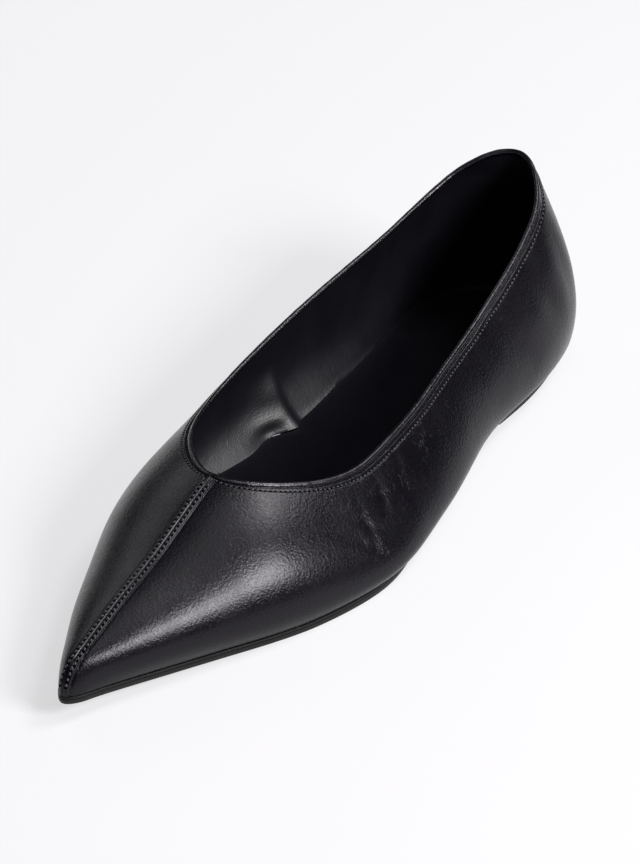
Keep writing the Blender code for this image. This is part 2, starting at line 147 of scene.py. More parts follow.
# Lights: name, azimuth from the toe's side towards the outer side, elevation, distance, width, height, watts
LAMPS = (("key_box", 90, 37, 1.6, 0.64, 0.42, 27), ("ceiling", 95, 77, 2.2, 1.3, 1.0, 6),
         ("rear_box", 146, 56, 1.9, 0.60, 0.42, 14), ("fill", -108, 33, 2.2, 1.2, 0.8, 4))

# One number or an array of them
Number = float | np.ndarray


class Side(Enum):
    """The two sides of the shoe; the value is the sign of X."""

    OUTER = 1
    INNER = -1


def mix(start: Number, end: Number, share: Number) -> Number:
    """Value at a share of the way from start to end."""
    return start + (end - start) * share


def ease(share: Number) -> Number:
    """Smooth step from 0 to 1 with level ends."""
    share = np.clip(share, 0.0, 1.0)
    return share * share * (3.0 - 2.0 * share)


def unit(vectors: np.ndarray) -> np.ndarray:
    """Vectors of the last axis brought to length one."""
    return vectors / np.linalg.norm(vectors, axis=-1, keepdims=True)


def bell(distance: np.ndarray, width: float) -> np.ndarray:
    """Smooth hump of height one, about twice the width across."""
    return np.exp(-(distance / width) ** 2)


def sole_height(y: np.ndarray) -> np.ndarray:
    """Height of the underside of the outsole.

    Args:
        y: distance from the toe tip.

    Returns:
        One height a distance.
    """
    along = np.asarray(y, float) / LENGTH
    spring = TOE_SPRING * (1.0 - np.clip(along / SPRING_END, 0.0, 1.0)) ** SPRING_CURVE
    return spring + (HEEL_HEIGHT + CLEARANCE) * ease((along - WAIST_START) / (WAIST_END - WAIST_START))


def feather_height(y: np.ndarray) -> np.ndarray:
    """Height of the bottom edge of the upper."""
    return sole_height(y) + OUTSOLE_THICKNESS + CLEARANCE


def drawn_in(y: np.ndarray) -> np.ndarray:
    """Share from 0 at the forefoot to 1 at the waist and the heel."""
    return ease((np.asarray(y) / LENGTH - DRAW_START) / (DRAW_END - DRAW_START))


def sole_inset(y: np.ndarray) -> np.ndarray:
    """How far the top edge of the outsole lies inside the feather line."""
    return mix(-SOLE_LEDGE, SOLE_DRAW, drawn_in(y))


def cubic(handles: tuple, share: np.ndarray) -> np.ndarray:
    """Points of cubic curves.

    Args:
        handles: start, leaving handle, arriving handle and end, each one point a row.
        share: share of the way along each curve.

    Returns:
        One point a row.
    """
    share = share[:, None]
    rest = 1.0 - share
    start, leave, arrive, end = handles
    return (rest ** 3 * start + 3 * rest ** 2 * share * leave + 3 * rest * share ** 2 * arrive
            + share ** 3 * end)


class Last:
    """Closed smooth surface through the sections: time runs once around, level from feather line to ridge."""

    def __init__(self) -> None:
        """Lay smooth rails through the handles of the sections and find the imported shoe's place."""
        sides = [[self.half_section(row, side) for row in STATIONS] for side in Side]
        outer, inner = sides
        steps = [sum(np.linalg.norm((rail[here + 1] - rail[here])[:2]) for rail in sides) / 2
                 for here in range(len(STATIONS) - 1)]
        self.values = np.array(outer + inner[-2:0:-1])
        self.knots = np.concatenate(((0.0,), np.cumsum(steps + steps[::-1])))
        self.half = float(self.knots[len(steps)])
        self.bends = self.closed_bends()
        low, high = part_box("outsole")
        turn = np.linspace(0.0, 2 * self.half, RIM_SAMPLES)
        rim = self.outline(turn, sole_inset)
        middle = (rim.min(0) + rim.max(0)) / 2
        self.shift = np.array(((low.x + high.x) / 2 - middle[0], (low.y + high.y) / 2 - middle[1], 0.0))

    @staticmethod
    def half_section(row: tuple, side: Side) -> np.ndarray:
        """Four handles of one half section and its tuck angle.

        Args:
            row: one row of the table of sections.
            side: the side of the shoe.

        Returns:
            Edge, flare, crown and ridge handles and the tuck angle, 13 numbers.
        """
        place, turn, width, ridge_share, drop, outer, inner = row
        edge_share, flare_share, rise, crown_share, tuck = outer if side is Side.OUTER else inner
        turn = math.radians(turn)
        outward = np.array((side.value * math.cos(turn), math.sin(turn), 0.0))
        centre = np.array((0.0, place * LENGTH, 0.0))
        lean = math.atan2(flare_share * width, rise * INSTEP_HEIGHT)
        tuck = max(math.radians(tuck), lean + math.radians(LEAST_TUCK))
        edge = centre + outward * edge_share * width
        edge[2] = feather_height(edge[1]) + TUCK_RADIUS * (math.sin(tuck) - math.sin(lean))
        flare = edge + outward * flare_share * width
        flare[2] += rise * INSTEP_HEIGHT
        ridge = centre.copy()
        ridge[2] = feather_height(centre[1]) + ridge_share * INSTEP_HEIGHT
        crown = ridge + outward * crown_share * width
        crown[2] -= drop * INSTEP_HEIGHT
        return np.concatenate((edge, flare, crown, ridge, (tuck,)))

    def closed_bends(self) -> np.ndarray:
        """Bends that make the closed rails smooth.

        Returns:
            Second derivatives of the 13 numbers, one row a knot.
        """
        count = len(self.values)
        span = np.diff(self.knots)
        system = np.zeros((count, count))
        change = np.zeros_like(self.values)
        for here in range(count):
            before, after = (here - 1) % count, (here + 1) % count
            system[here, before] += span[before] / 6
            system[here, here] += (span[before] + span[here]) / 3
            system[here, after] += span[here] / 6
            change[here] = ((self.values[after] - self.values[here]) / span[here]
                            - (self.values[here] - self.values[before]) / span[before])
        return np.linalg.solve(system, change)

    def handles(self, time: np.ndarray) -> tuple:
        """Sections of the closed surface.

        Args:
            time: flat row of times.

        Returns:
            Edge, flare, crown and ridge handles, one point a row, and the tuck angles.
        """
        time = np.mod(time, self.knots[-1])
        here = np.clip(np.searchsorted(self.knots, time, side="right") - 1, 0, len(self.values) - 1)
        after = (here + 1) % len(self.values)
        span = (self.knots[here + 1] - self.knots[here])[:, None]
        ahead = (time - self.knots[here])[:, None] / span
        behind = 1.0 - ahead
        row = (behind * self.values[here] + ahead * self.values[after]
               + ((behind ** 3 - behind) * self.bends[here] + (ahead ** 3 - ahead) * self.bends[after])
               * span * span / 6)
        return row[:, 0:3], row[:, 3:6], row[:, 6:9], row[:, 9:12], row[:, 12]

    def tuck(self, time: np.ndarray) -> tuple:
        """Short curves from the feather line up to the edge.

        Args:
            time: flat row of times.

        Returns:
            The four handles of the curves, one point a row.
        """
        edge, flare, _, ridge, angle = self.handles(time)
        outward = unit((edge - ridge) * (1.0, 1.0, 0.0))
        lean = np.arctan2(((flare - edge) * outward).sum(1), flare[:, 2] - edge[:, 2])[:, None]
        angle = angle[:, None]
        feather = edge - outward * TUCK_RADIUS * (np.cos(lean) - np.cos(angle))
        feather[:, 2] = feather_height(feather[:, 1])
        reach = np.linalg.norm(edge - feather, axis=1)[:, None] / 3
        upward = np.array((0.0, 0.0, 1.0))
        return (feather, feather + (outward * np.sin(angle) + upward * np.cos(angle)) * reach,
                edge - (outward * np.sin(lean) + upward * np.cos(lean)) * reach, edge)

    def point(self, time: np.ndarray, level: np.ndarray) -> np.ndarray:
        """Points of the surface.

        Args:
            time: time of each point, any shape.
            level: level of each point, the same shape.

        Returns:
            Points with one more axis of three.
        """
        shape = np.shape(time)
        time, level = np.ravel(time), np.ravel(level)
        low = cubic(self.tuck(time), np.clip(level / TUCK_LEVEL, 0.0, 1.0))
        high = cubic(self.handles(time)[:4], (level - TUCK_LEVEL) / (1.0 - TUCK_LEVEL))
        return np.where((level < TUCK_LEVEL)[:, None], low, high).reshape(*shape, 3)

    def normal(self, time: np.ndarray, level: np.ndarray) -> np.ndarray:
        """Directions square to the surface.

        Args:
            time: time of each point.
            level: level of each point.

        Returns:
            Directions of length one, out of the shoe.
        """
        along = self.point(time + TIME_STEP, level) - self.point(time - TIME_STEP, level)
        above = self.point(time, np.minimum(level + LEVEL_STEP, 1.0))
        return unit(np.cross(along, above - self.point(time, np.maximum(level - LEVEL_STEP, 0.0))))

    def outline(self, time: np.ndarray, inset: Callable[[np.ndarray], np.ndarray]) -> np.ndarray:
        """Feather line seen from above, moved inward.

        Args:
            time: times along the line.
            inset: gives the inset at a distance from the toe tip.

        Returns:
            Points of two.
        """
        level = np.zeros_like(time)
        ahead = self.point(time + TIME_STEP, level) - self.point(time - TIME_STEP, level)
        outward = unit(np.stack((ahead[..., 1], -ahead[..., 0]), axis=-1))
        place = self.point(time, level)
        return place[..., :2] - outward * inset(place[..., 1])[..., None]

    def time_at(self, y: float, level: float) -> float:
        """Time on the outer side at which a point of the level lies at y."""
        times = np.linspace(0.0, self.half, TIME_SAMPLES)
        return float(np.interp(y, self.point(times, np.full_like(times, level))[:, 1], times))

    def opposite(self, time: np.ndarray, side: Side) -> np.ndarray:
        """Times on the chosen side that lie opposite times on the outer side."""
        return time if side is Side.OUTER else 2 * self.half - time

    def level_at(self, time: np.ndarray, height: np.ndarray) -> np.ndarray:
        """Levels at which the surface lies at given heights.

        Args:
            time: times of the points.
            height: heights above the feather line.

        Returns:
            One level a point.
        """
        low, high = np.zeros_like(time), np.ones_like(time)
        target = self.point(time, low)[:, 2] + height
        for _ in range(HALVINGS):
            middle = (low + high) / 2
            under = self.point(time, middle)[:, 2] < target
            low, high = np.where(under, middle, low), np.where(under, high, middle)
        return (low + high) / 2


def collar_height(along: np.ndarray, side: Side) -> np.ndarray:
    """Height of the collar above the feather line.

    Args:
        along: shares of the way from the toe to the back of the heel.
        side: the side of the shoe.

    Returns:
        One height a share.
    """
    table = np.array(COLLAR)
    places, heights = table[:, 0], table[:, 1 if side is Side.OUTER else 2]
    slopes = np.gradient(heights, places)
    slopes[0] = slopes[-1] = 0.0
    along = np.clip(along, places[0], places[-1])
    here = np.clip(np.searchsorted(places, along, side="right") - 1, 0, len(places) - 2)
    span = places[here + 1] - places[here]
    share = (along - places[here]) / span
    lean = (slopes[here] * (1.0 - share) - slopes[here + 1] * share) * span * share * (1.0 - share)
    return (mix(heights[here], heights[here + 1], ease(share)) + lean) * BACK_HEIGHT


def feed(socket: bpy.types.NodeSocket, item: "Value | bpy.types.NodeSocket | float | tuple") -> None:
    """Link a value or socket to an input, or set the input to a constant.

    Args:
        socket: the input.
        item: what it gets.
    """
    if isinstance(item, Value):
        item = item.socket
    if isinstance(item, bpy.types.NodeSocket):
        socket.id_data.links.new(item, socket)
    else:
        socket.default_value = item


def add_node(tree: bpy.types.NodeTree, kind: str, settings: dict | None = None,
             inputs: dict | None = None) -> bpy.types.Node:
    """One node with its settings and inputs.

    Args:
        tree: the node tree.
        kind: type of the node.
        settings: properties set before the sockets.
        inputs: values, sockets or constants by input name or number.

    Returns:
        The node.
    """
    made = tree.nodes.new(kind)
    for key, item in (settings or {}).items():
        setattr(made, key, item)
    for key, item in (inputs or {}).items():
        feed(made.inputs[key], item)
    return made


class Value:
    """A number in a node tree that can be used in arithmetic."""

    def __init__(self, socket: bpy.types.NodeSocket) -> None:
        """Wrap the output that gives the number."""
        self.socket = socket

    def math(self, operation: str, first: "Value | float", second: "Value | float") -> "Value":
        """Result of one Math node.

        Args:
            operation: what it works out.
            first: first number.
            second: second number.

        Returns:
            The result.
        """
        made = add_node(self.socket.id_data, "ShaderNodeMath", {"operation": operation},
                        {0: first, 1: second})
        return Value(made.outputs[0])

    def __add__(self, other: "Value | float") -> "Value":
        """This value plus another."""
        return self.math("ADD", self, other)

    def __mul__(self, other: "Value | float") -> "Value":
        """This value times another."""
        return self.math("MULTIPLY", self, other)

    def __sub__(self, other: "Value | float") -> "Value":
        """This value less another."""
        return self.math("SUBTRACT", self, other)

    def __rsub__(self, other: float) -> "Value":
        """A number less this value."""
        return self.math("SUBTRACT", other, self)

    __radd__ = __add__
    __rmul__ = __mul__

    def between(self, low: float, high: float) -> "Value":
        """Smooth step of this value.

        Args:
            low: value up to which the step is 0.
            high: value from which it is 1.

        Returns:
            Share from 0 to 1.
        """
        made = add_node(self.socket.id_data, "ShaderNodeMapRange",
                        {"interpolation_type": "SMOOTHSTEP", "clamp": True},
                        {"Value": self, "From Min": low, "From Max": high})
        return Value(made.outputs["Result"])


class Painter:
    """Builds the node tree of one material."""

    def __init__(self, name: str) -> None:
        """Start a material with its Principled shader.

        Args:
            name: name of the material.
        """
        self.material = bpy.data.materials.new(name)
        self.material.use_nodes = True
        self.shader = self.material.node_tree.nodes["Principled BSDF"]
        self.place = self.node("ShaderNodeTexCoord").outputs["Object"]

    def node(self, kind: str, settings: dict | None = None, inputs: dict | None = None) -> bpy.types.Node:
        """One node of the material, made by add_node."""
        return add_node(self.material.node_tree, kind, settings, inputs)

    def vary(self, socket: str, item: "Value | bpy.types.NodeSocket") -> None:
        """Let an input of the shader change over the surface."""
        feed(self.shader.inputs[socket], item)

    def stretched(self, scale: tuple[float, float, float]) -> bpy.types.NodeSocket:
        """Object coordinates scaled along their three directions."""
        return self.node("ShaderNodeMapping", None, {"Vector": self.place, "Scale": scale}).outputs["Vector"]

    def noise(self, size: float, detail: float = 3.0, warp: float = 0.0,
              vector: bpy.types.NodeSocket | None = None) -> Value:
        """Soft cloudy pattern from 0 to 1.

        Args:
            size: about the size of its patches.
            detail: how much finer noise lies on it.
            warp: how far it is pushed about.
            vector: coordinates, the object's own where none are given.

        Returns:
            The pattern.
        """
        made = self.node("ShaderNodeTexNoise", None, {
            "Vector": vector or self.place, "Scale": 1.0 / size, "Detail": detail, "Distortion": warp})
        return Value(made.outputs["Fac"])

    def cells(self, size: float, feature: str, vector: bpy.types.NodeSocket | None = None) -> Value:
        """Distance pattern of cells.

        Args:
            size: about the size of a cell.
            feature: which distance is measured.
            vector: coordinates, the object's own where none are given.

        Returns:
            The distance, counted in cells.
        """
        made = self.node("ShaderNodeTexVoronoi", {"feature": feature},
                         {"Vector": vector or self.place, "Scale": 1.0 / size})
        return Value(made.outputs["Distance"])

    def warped(self, size: float, amount: float) -> bpy.types.NodeSocket:
        """Object coordinates pushed about by a noise.

        Args:
            size: about the size of its patches.
            amount: how far it pushes.

        Returns:
            The coordinates.
        """
        cloud = self.node("ShaderNodeTexNoise", None,
                          {"Vector": self.place, "Scale": 1.0 / size, "Detail": 2.0})
        offset = self.node("ShaderNodeVectorMath", {"operation": "SCALE"},
                           {0: cloud.outputs["Color"], "Scale": amount})
        moved = self.node("ShaderNodeVectorMath", {"operation": "ADD"}, {0: self.place, 1: offset.outputs[0]})
        return moved.outputs[0]

    def painted(self, name: str) -> Value:
        """Number stored on the mesh under a name."""
        made = self.node("ShaderNodeAttribute", {"attribute_name": name, "attribute_type": "GEOMETRY"})
        return Value(made.outputs["Fac"])

    def colour(self, share: Value, first: tuple, second: tuple) -> None:
        """Paint the surface in a colour between two colours.

        Args:
            share: how far towards the second colour.
            first: colour at a share of 0.
            second: colour at a share of 1.
        """
        made = self.node("ShaderNodeMix", {"data_type": "RGBA"},
                         {"Factor": share, 6: (*first, 1.0), 7: (*second, 1.0)})
        self.vary("Base Color", made.outputs[2])

    def bump(self, height: Value, depth: float) -> None:
        """Relief of the surface, the height counted in units of the depth."""
        made = self.node("ShaderNodeBump", None, {"Height": height, "Strength": 1.0, "Distance": depth})
        self.vary("Normal", made.outputs["Normal"])

    def finish(self, **constants: float | tuple) -> bpy.types.Material:
        """Set constant inputs of the shader and hand over the material.

        Args:
            constants: values by the names of the inputs, with underscores for spaces.

        Returns:
            The material.
        """
        for key, item in constants.items():
            self.shader.inputs[key.replace("_", " ")].default_value = item
        return self.material


@dataclass(frozen=True)
class SmoothLeather:
    """Black calf with a fine grain, soft gloss and crackled flex creases."""

    name: str = "black_calf"
    deep: tuple = (0.0017, 0.0014, 0.0026)
    pale: tuple = (0.0038, 0.0032, 0.0056)
    tint: tuple = (0.97, 0.92, 1.0, 1.0)
    roughness: float = 0.275
    grain: float = 0.00074
    shine: float = 0.22
    wax: float = 0.10
    wax_roughness: float = 0.22
    relief: float = 0.00017
    patch: float = 0.022
    fibre: float = 0.00030
    dimple: float = 0.0010
    crack: float = 0.0034
    crack_width: float = 0.065
    crack_warp: tuple[float, float] = (0.0024, 0.0042)
    crack_gap: float = 0.0042
    mottle: float = 0.004
    rumple: float = 0.0022
    streak: float = 0.0065
    streak_stretch: float = 0.22

    def veins(self, paint: Painter, crackle: Value) -> Value:
        """Fine broken cracks of leather that flexes.

        Args:
            paint: builder of the material.
            crackle: strength of the cracks over the surface.

        Returns:
            Share from 0 on plain leather to 1 on a crack.
        """
        lines = paint.cells(self.crack, "DISTANCE_TO_EDGE", paint.warped(*self.crack_warp))
        broken = paint.noise(self.crack_gap, 3.0).between(0.47, 0.60)
        return (1.0 - lines.between(0.0, self.crack_width)) * broken * crackle

    def material(self) -> bpy.types.Material:
        """Material of the upper's outer side.

        Returns:
            The material.
        """
        paint = Painter(self.name)
        crackle = paint.painted("crackle")
        cloud = paint.noise(self.patch, 4.0, 0.6)
        pores = paint.cells(self.grain, "SMOOTH_F1")
        fine = paint.noise(self.fibre, 2.0)
        middle = paint.noise(self.dimple, 3.0)
        veins = self.veins(paint, crackle)
        streaks = paint.noise(self.streak, 3.0, 0.3, paint.stretched((1.0, 1.0, self.streak_stretch)))
        paint.colour(cloud * 0.6 + veins * 0.8 + paint.noise(self.mottle, 3.0) * 0.25, self.deep, self.pale)
        paint.vary("Roughness", self.roughness + (cloud - 0.5) * 0.16 + (streaks - 0.5) * 0.14
                   + (middle - 0.5) * 0.12)
        relief = (pores * 0.46 + fine * 0.30 + middle * 0.12 + veins * 0.42
                  + paint.noise(self.rumple, 2.0) * crackle * 0.30 + streaks * 0.7)
        paint.bump(relief, self.relief)
        return paint.finish(Metallic=0.0, Specular_IOR_Level=self.shine, Specular_Tint=self.tint,
                            Coat_Weight=self.wax, Coat_Roughness=self.wax_roughness)


@dataclass(frozen=True)
class Lining:
    """Black lining leather, smoother and duller than the outside."""

    name: str = "black_lining"
    deep: tuple = (0.0026, 0.0022, 0.0042)
    pale: tuple = (0.0068, 0.0060, 0.0098)
    roughness: float = 0.44
    shine: float = 0.44
    patch: float = 0.016
    grain: float = 0.0006
    rumple: float = 0.0030
    relief: float = 0.00010

    def material(self) -> bpy.types.Material:
        """Material of the inside of the shoe.

        Returns:
            The material.
        """
        paint = Painter(self.name)
        cloud = paint.noise(self.patch, 4.0, 0.4)
        pores = paint.cells(self.grain, "SMOOTH_F1")
        paint.colour(cloud, self.deep, self.pale)
        paint.vary("Roughness", self.roughness + (cloud - 0.5) * 0.16)
        paint.bump(pores * 0.4 + paint.noise(self.rumple, 3.0, 0.5) * 0.9, self.relief)
        return paint.finish(Metallic=0.0, Specular_IOR_Level=self.shine)


@dataclass(frozen=True)
class Thread:
    """Waxed black thread, and the near-black dull pricks it goes through, which are painted shade of the
    needle holes.
    """

    name: str = "black_thread"
    colour: tuple = (0.036, 0.033, 0.041)
    roughness: float = 0.36
    shine: float = 0.50
    yarn: float = 0.00025
    relief: float = 0.00006

    def material(self) -> bpy.types.Material:
        """Material with the twist of the yarn.

        Returns:
            The material.
        """
        paint = Painter(self.name)
        twist = paint.noise(self.yarn, 2.0, 1.0)
        deep, pale = (tuple(part * share for part in self.colour) for share in (0.6, 1.8))
        paint.colour(twist, deep, pale)
        paint.vary("Roughness", self.roughness + (twist - 0.5) * 0.3)
        paint.bump(twist, self.relief)
        return paint.finish(Metallic=0.0, Specular_IOR_Level=self.shine)


@dataclass(frozen=True)
class SoleRubber:
    """Matte black sole material with a fine tread on its underside."""

    name: str = "black_rubber"
    deep: tuple = (0.0032, 0.0030, 0.0034)
    pale: tuple = (0.0095, 0.0090, 0.0096)
    roughness: float = 0.50
    shine: float = 0.28
    tread: float = 0.0
    rib: float = 0.0026
    patch: float = 0.010
    grain: float = 0.0005
    scuff: float = 0.0035
    relief: float = 0.00016

    def material(self) -> bpy.types.Material:
        """Material of the outsole or the heel.

        Returns:
            The material.
        """
        paint = Painter(self.name)
        cloud = paint.noise(self.patch, 4.0, 0.5)
        fine = paint.noise(self.grain, 3.0)
        scuff = paint.noise(self.scuff, 5.0, 1.2).between(0.60, 0.78)
        paint.colour(cloud * 0.6 + scuff * 0.4, self.deep, self.pale)
        paint.vary("Roughness", self.roughness + (fine - 0.5) * 0.18 + scuff * 0.1)
        ribs = paint.node("ShaderNodeTexWave", {"wave_type": "BANDS", "bands_direction": "Y"},
                          {"Vector": paint.place, "Scale": 0.5 / self.rib, "Distortion": 0.0})
        under = paint.painted("underside")
        relief = fine * 0.35 + cloud * 0.3 + Value(ribs.outputs["Fac"]) * under * self.tread
        paint.bump(relief, self.relief)
        return paint.finish(Metallic=0.0, Specular_IOR_Level=self.shine)


@dataclass(frozen=True)
class StudioFloor:
    """White paper sweep under the shoe."""

    name: str = "white_paper"
    colour: tuple = (0.28, 0.275, 0.285)
    glow: float = 0.63
    glow_colour: tuple = (0.995, 0.985, 1.0, 1.0)
    roughness: float = 0.9

    def material(self) -> bpy.types.Material:
        """White with a little light of its own, so that shadows stay faint.

        Returns:
            The material.
        """
        paint = Painter(self.name)
        paint.colour(paint.noise(0.5, 2.0), self.colour, tuple(part * 0.985 for part in self.colour))
        return paint.finish(Roughness=self.roughness, Emission_Color=self.glow_colour,
                            Emission_Strength=self.glow)


def grid_quads(columns: int, rows: int, start: int, flipped: bool) -> np.ndarray:
    """Corner numbers of the quads of a grid of vertices stored column by column.

    Args:
        columns: number of columns.
        rows: number of rows.
        start: number of the first vertex.
        flipped: whether the faces look the other way.

    Returns:
        Four numbers a face.
    """
    corner = start + np.arange(columns - 1)[:, None] * rows + np.arange(rows - 1)[None, :]
    quads = np.stack((corner, corner + rows, corner + rows + 1, corner + 1), axis=-1).reshape(-1, 4)
    return quads[:, ::-1] if flipped else quads


class Piece:
    """A visible piece that is collected from grids of points, then welded into one mesh."""

    def __init__(self, name: str, shift: np.ndarray) -> None:
        """Start with no grids.

        Args:
            name: name of the piece.
            shift: place of the last.
        """
        self.name = name
        self.shift = shift
        self.points: list[np.ndarray] = []
        self.quads: list[np.ndarray] = []
        self.looks: list[np.ndarray] = []
        self.count = 0

    def add(self, grid: np.ndarray, flipped: bool = False, look: int = 0) -> None:
        """Add a grid of points.

        Args:
            grid: points, columns by rows by three.
            flipped: whether the faces look the other way.
            look: number of the grid's material.
        """
        columns, rows = grid.shape[:2]
        quads = grid_quads(columns, rows, self.count, flipped)
        self.points.append(grid.reshape(-1, 3))
        self.quads.append(quads)
        self.looks.append(np.full(len(quads), look))
        self.count += columns * rows

    def build(self, materials: list[bpy.types.Material], sharp: float = 50.0) -> bpy.types.Object:
        """Weld the grids into an object with its place in its mesh.

        Args:
            materials: materials by the numbers of the grids.
            sharp: angle in degrees above which an edge is not smoothed.

        Returns:
            The object.
        """
        mesh = bpy.data.meshes.new(self.name)
        points = np.concatenate(self.points) + self.shift
        mesh.from_pydata(points.tolist(), [], np.concatenate(self.quads).tolist())
        mesh.polygons.foreach_set("material_index", np.concatenate(self.looks).astype(np.int32))
        shape = bmesh.new()
        shape.from_mesh(mesh)
        bmesh.ops.remove_doubles(shape, verts=shape.verts, dist=WELD)
        shape.to_mesh(mesh)
        shape.free()
        mesh.shade_smooth()
        mesh.set_sharp_from_angle(angle=math.radians(sharp))
        for material in materials:
            mesh.materials.append(material)
        made = bpy.data.objects.new(self.name, mesh)
        bpy.context.scene.collection.objects.link(made)
        return made


def positions(piece: bpy.types.Object, shift: np.ndarray) -> np.ndarray:
    """Vertices of a finished piece in the coordinates of the last.

    Args:
        piece: the piece.
        shift: place of the last.

    Returns:
        One point a row.
    """
    found = np.empty(len(piece.data.vertices) * 3)
    piece.data.vertices.foreach_get("co", found)
    return found.reshape(-1, 3) - shift


def paint_number(piece: bpy.types.Object, name: str, numbers: np.ndarray) -> None:
    """Store one number for each vertex under a name."""
    layer = piece.data.attributes.new(name, "FLOAT", "POINT")
    layer.data.foreach_set("value", numbers.astype(np.float32))


def dress(piece: bpy.types.Object, slot: str, *nodes: str) -> None:
    """Let a finished piece ride on the shoe, and log it.

    Args:
        piece: the piece.
        slot: name of its finish, not used.
        nodes: solids that it stands for.
    """
    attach(piece, "root")
    if nodes:
        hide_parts(*nodes)
    count = sum(len(face.vertices) - 2 for face in piece.data.polygons)
    LOG.info("%s: %d triangles, stands for %s", piece.name, count, ", ".join(nodes) or "nothing")


@dataclass(frozen=True)
class Fold:
    """Soft trough or ridge in the leather along a line seen from the side, millimetres.

    Points are (distance from the toe tip, height above the ground); a negative depth is a ridge.
    """

    side: Side
    start: tuple[float, float]
    end: tuple[float, float]
    width: float
    depth: float
    sway: float = 0.9
    sway_share: float = 0.35
    sway_turns: tuple[float, float] = (0.35, 0.55)
    sway_start: float = 40.0
    flank: float = 0.55
    full_reach: float = 1.25
    fade_rate: float = 1.6

    def press(self, points: np.ndarray, side: Side) -> np.ndarray:
        """How far the fold lifts the leather.

        Args:
            points: points of the smooth surface, metres.
            side: the side of the shoe that they lie on.

        Returns:
            Distance of each point along the outward direction, metres.
        """
        if side is not self.side:
            return np.zeros(points.shape[:-1])
        place = points[..., 1:] * 1000
        start, end = np.array(self.start), np.array(self.end)
        run = end - start
        length = np.linalg.norm(run)
        along, up = self.sway_turns
        wander = self.sway * np.sin(place[..., 1] * up + place[..., 0] * along + self.depth * self.sway_start)
        share = ((place - start) @ run) / length ** 2
        nearest = start + np.clip(share, 0.0, 1.0)[..., None] * run
        away = np.linalg.norm(place - nearest, axis=-1) + wander * bell(share - 0.5, 0.5) * self.sway_share
        across = away / self.width
        fade = ease(self.full_reach - np.abs(share - 0.5) * self.fade_rate)
        return -self.depth / 1000 * (1.0 - self.flank * across ** 2) * np.exp(-across ** 2) * fade


FOLDS = (
    Fold(Side.OUTER, (140, 32), (133, 21), 1.4, 0.24),
    Fold(Side.OUTER, (138, 24), (130, 26), 1.2, 0.14),
    Fold(Side.OUTER, (151, 33), (156, 26), 1.3, 0.22),
    Fold(Side.OUTER, (156, 31), (149, 26), 1.1, 0.16),
    Fold(Side.OUTER, (127, 29), (119, 20), 1.5, 0.30),
    Fold(Side.OUTER, (121, 28), (127, 21), 1.2, 0.20),
    Fold(Side.OUTER, (113, 28), (109, 16), 1.6, 0.28),
    Fold(Side.OUTER, (107, 25), (115, 19), 1.3, 0.18),
    Fold(Side.OUTER, (104, 20), (112, 13), 2.2, 0.20),
    Fold(Side.OUTER, (205, 44), (222, 20), 7.0, 0.55),
    Fold(Side.OUTER, (232, 50), (240, 24), 6.0, 0.50),
    Fold(Side.OUTER, (250, 52), (252, 26), 5.0, 0.40),
    Fold(Side.INNER, (112, 30), (118, 16), 2.4, 0.30),
    Fold(Side.INNER, (124, 32), (128, 20), 2.0, 0.24),
    Fold(Side.INNER, (136, 33), (137, 22), 1.8, 0.20),
    Fold(Side.INNER, (230, 46), (236, 24), 7.0, 0.45),
    Fold(Side.INNER, (250, 48), (253, 26), 5.0, 0.35),
)

# Patches of fine crackle on the leather: side, distance from the toe tip, height, reach along, reach up in
# millimetres, and strength
CRACKLE = (
    (Side.OUTER, 153, 29, 8, 6, 0.8), (Side.OUTER, 137, 27, 6, 7, 0.8), (Side.OUTER, 124, 25, 7, 7, 0.9),
    (Side.OUTER, 110, 20, 6, 9, 0.9), (Side.OUTER, 166, 30, 9, 5, 0.4), (Side.OUTER, 98, 26, 8, 6, 0.3),
    (Side.INNER, 122, 26, 16, 8, 0.6), (Side.INNER, 150, 28, 14, 6, 0.3),
)


def soft_waves(points: np.ndarray) -> np.ndarray:
    """Slight unevenness of hand-lasted leather.

    Args:
        points: points of the smooth surface, metres.

    Returns:
        Height of the waves at each point, metres.
    """
    place = points * 1000
    height = np.zeros(points.shape[:-1])
    for top, *sines in WAVES:
        first, second = (np.sin((place / turns).sum(-1) + start) for turns, start in sines)
        height += top * first * second
    calm = mix(CALM_SHARE, 1.0, ease((place[..., 1] - CALM_END) / CALM_REACH))
    return height * calm / 1000


def level_part(directions: np.ndarray) -> np.ndarray:
    """Directions turned level and brought to length one."""
    return unit(directions * (1.0, 1.0, 0.0) + (1e-9, 0.0, 0.0))


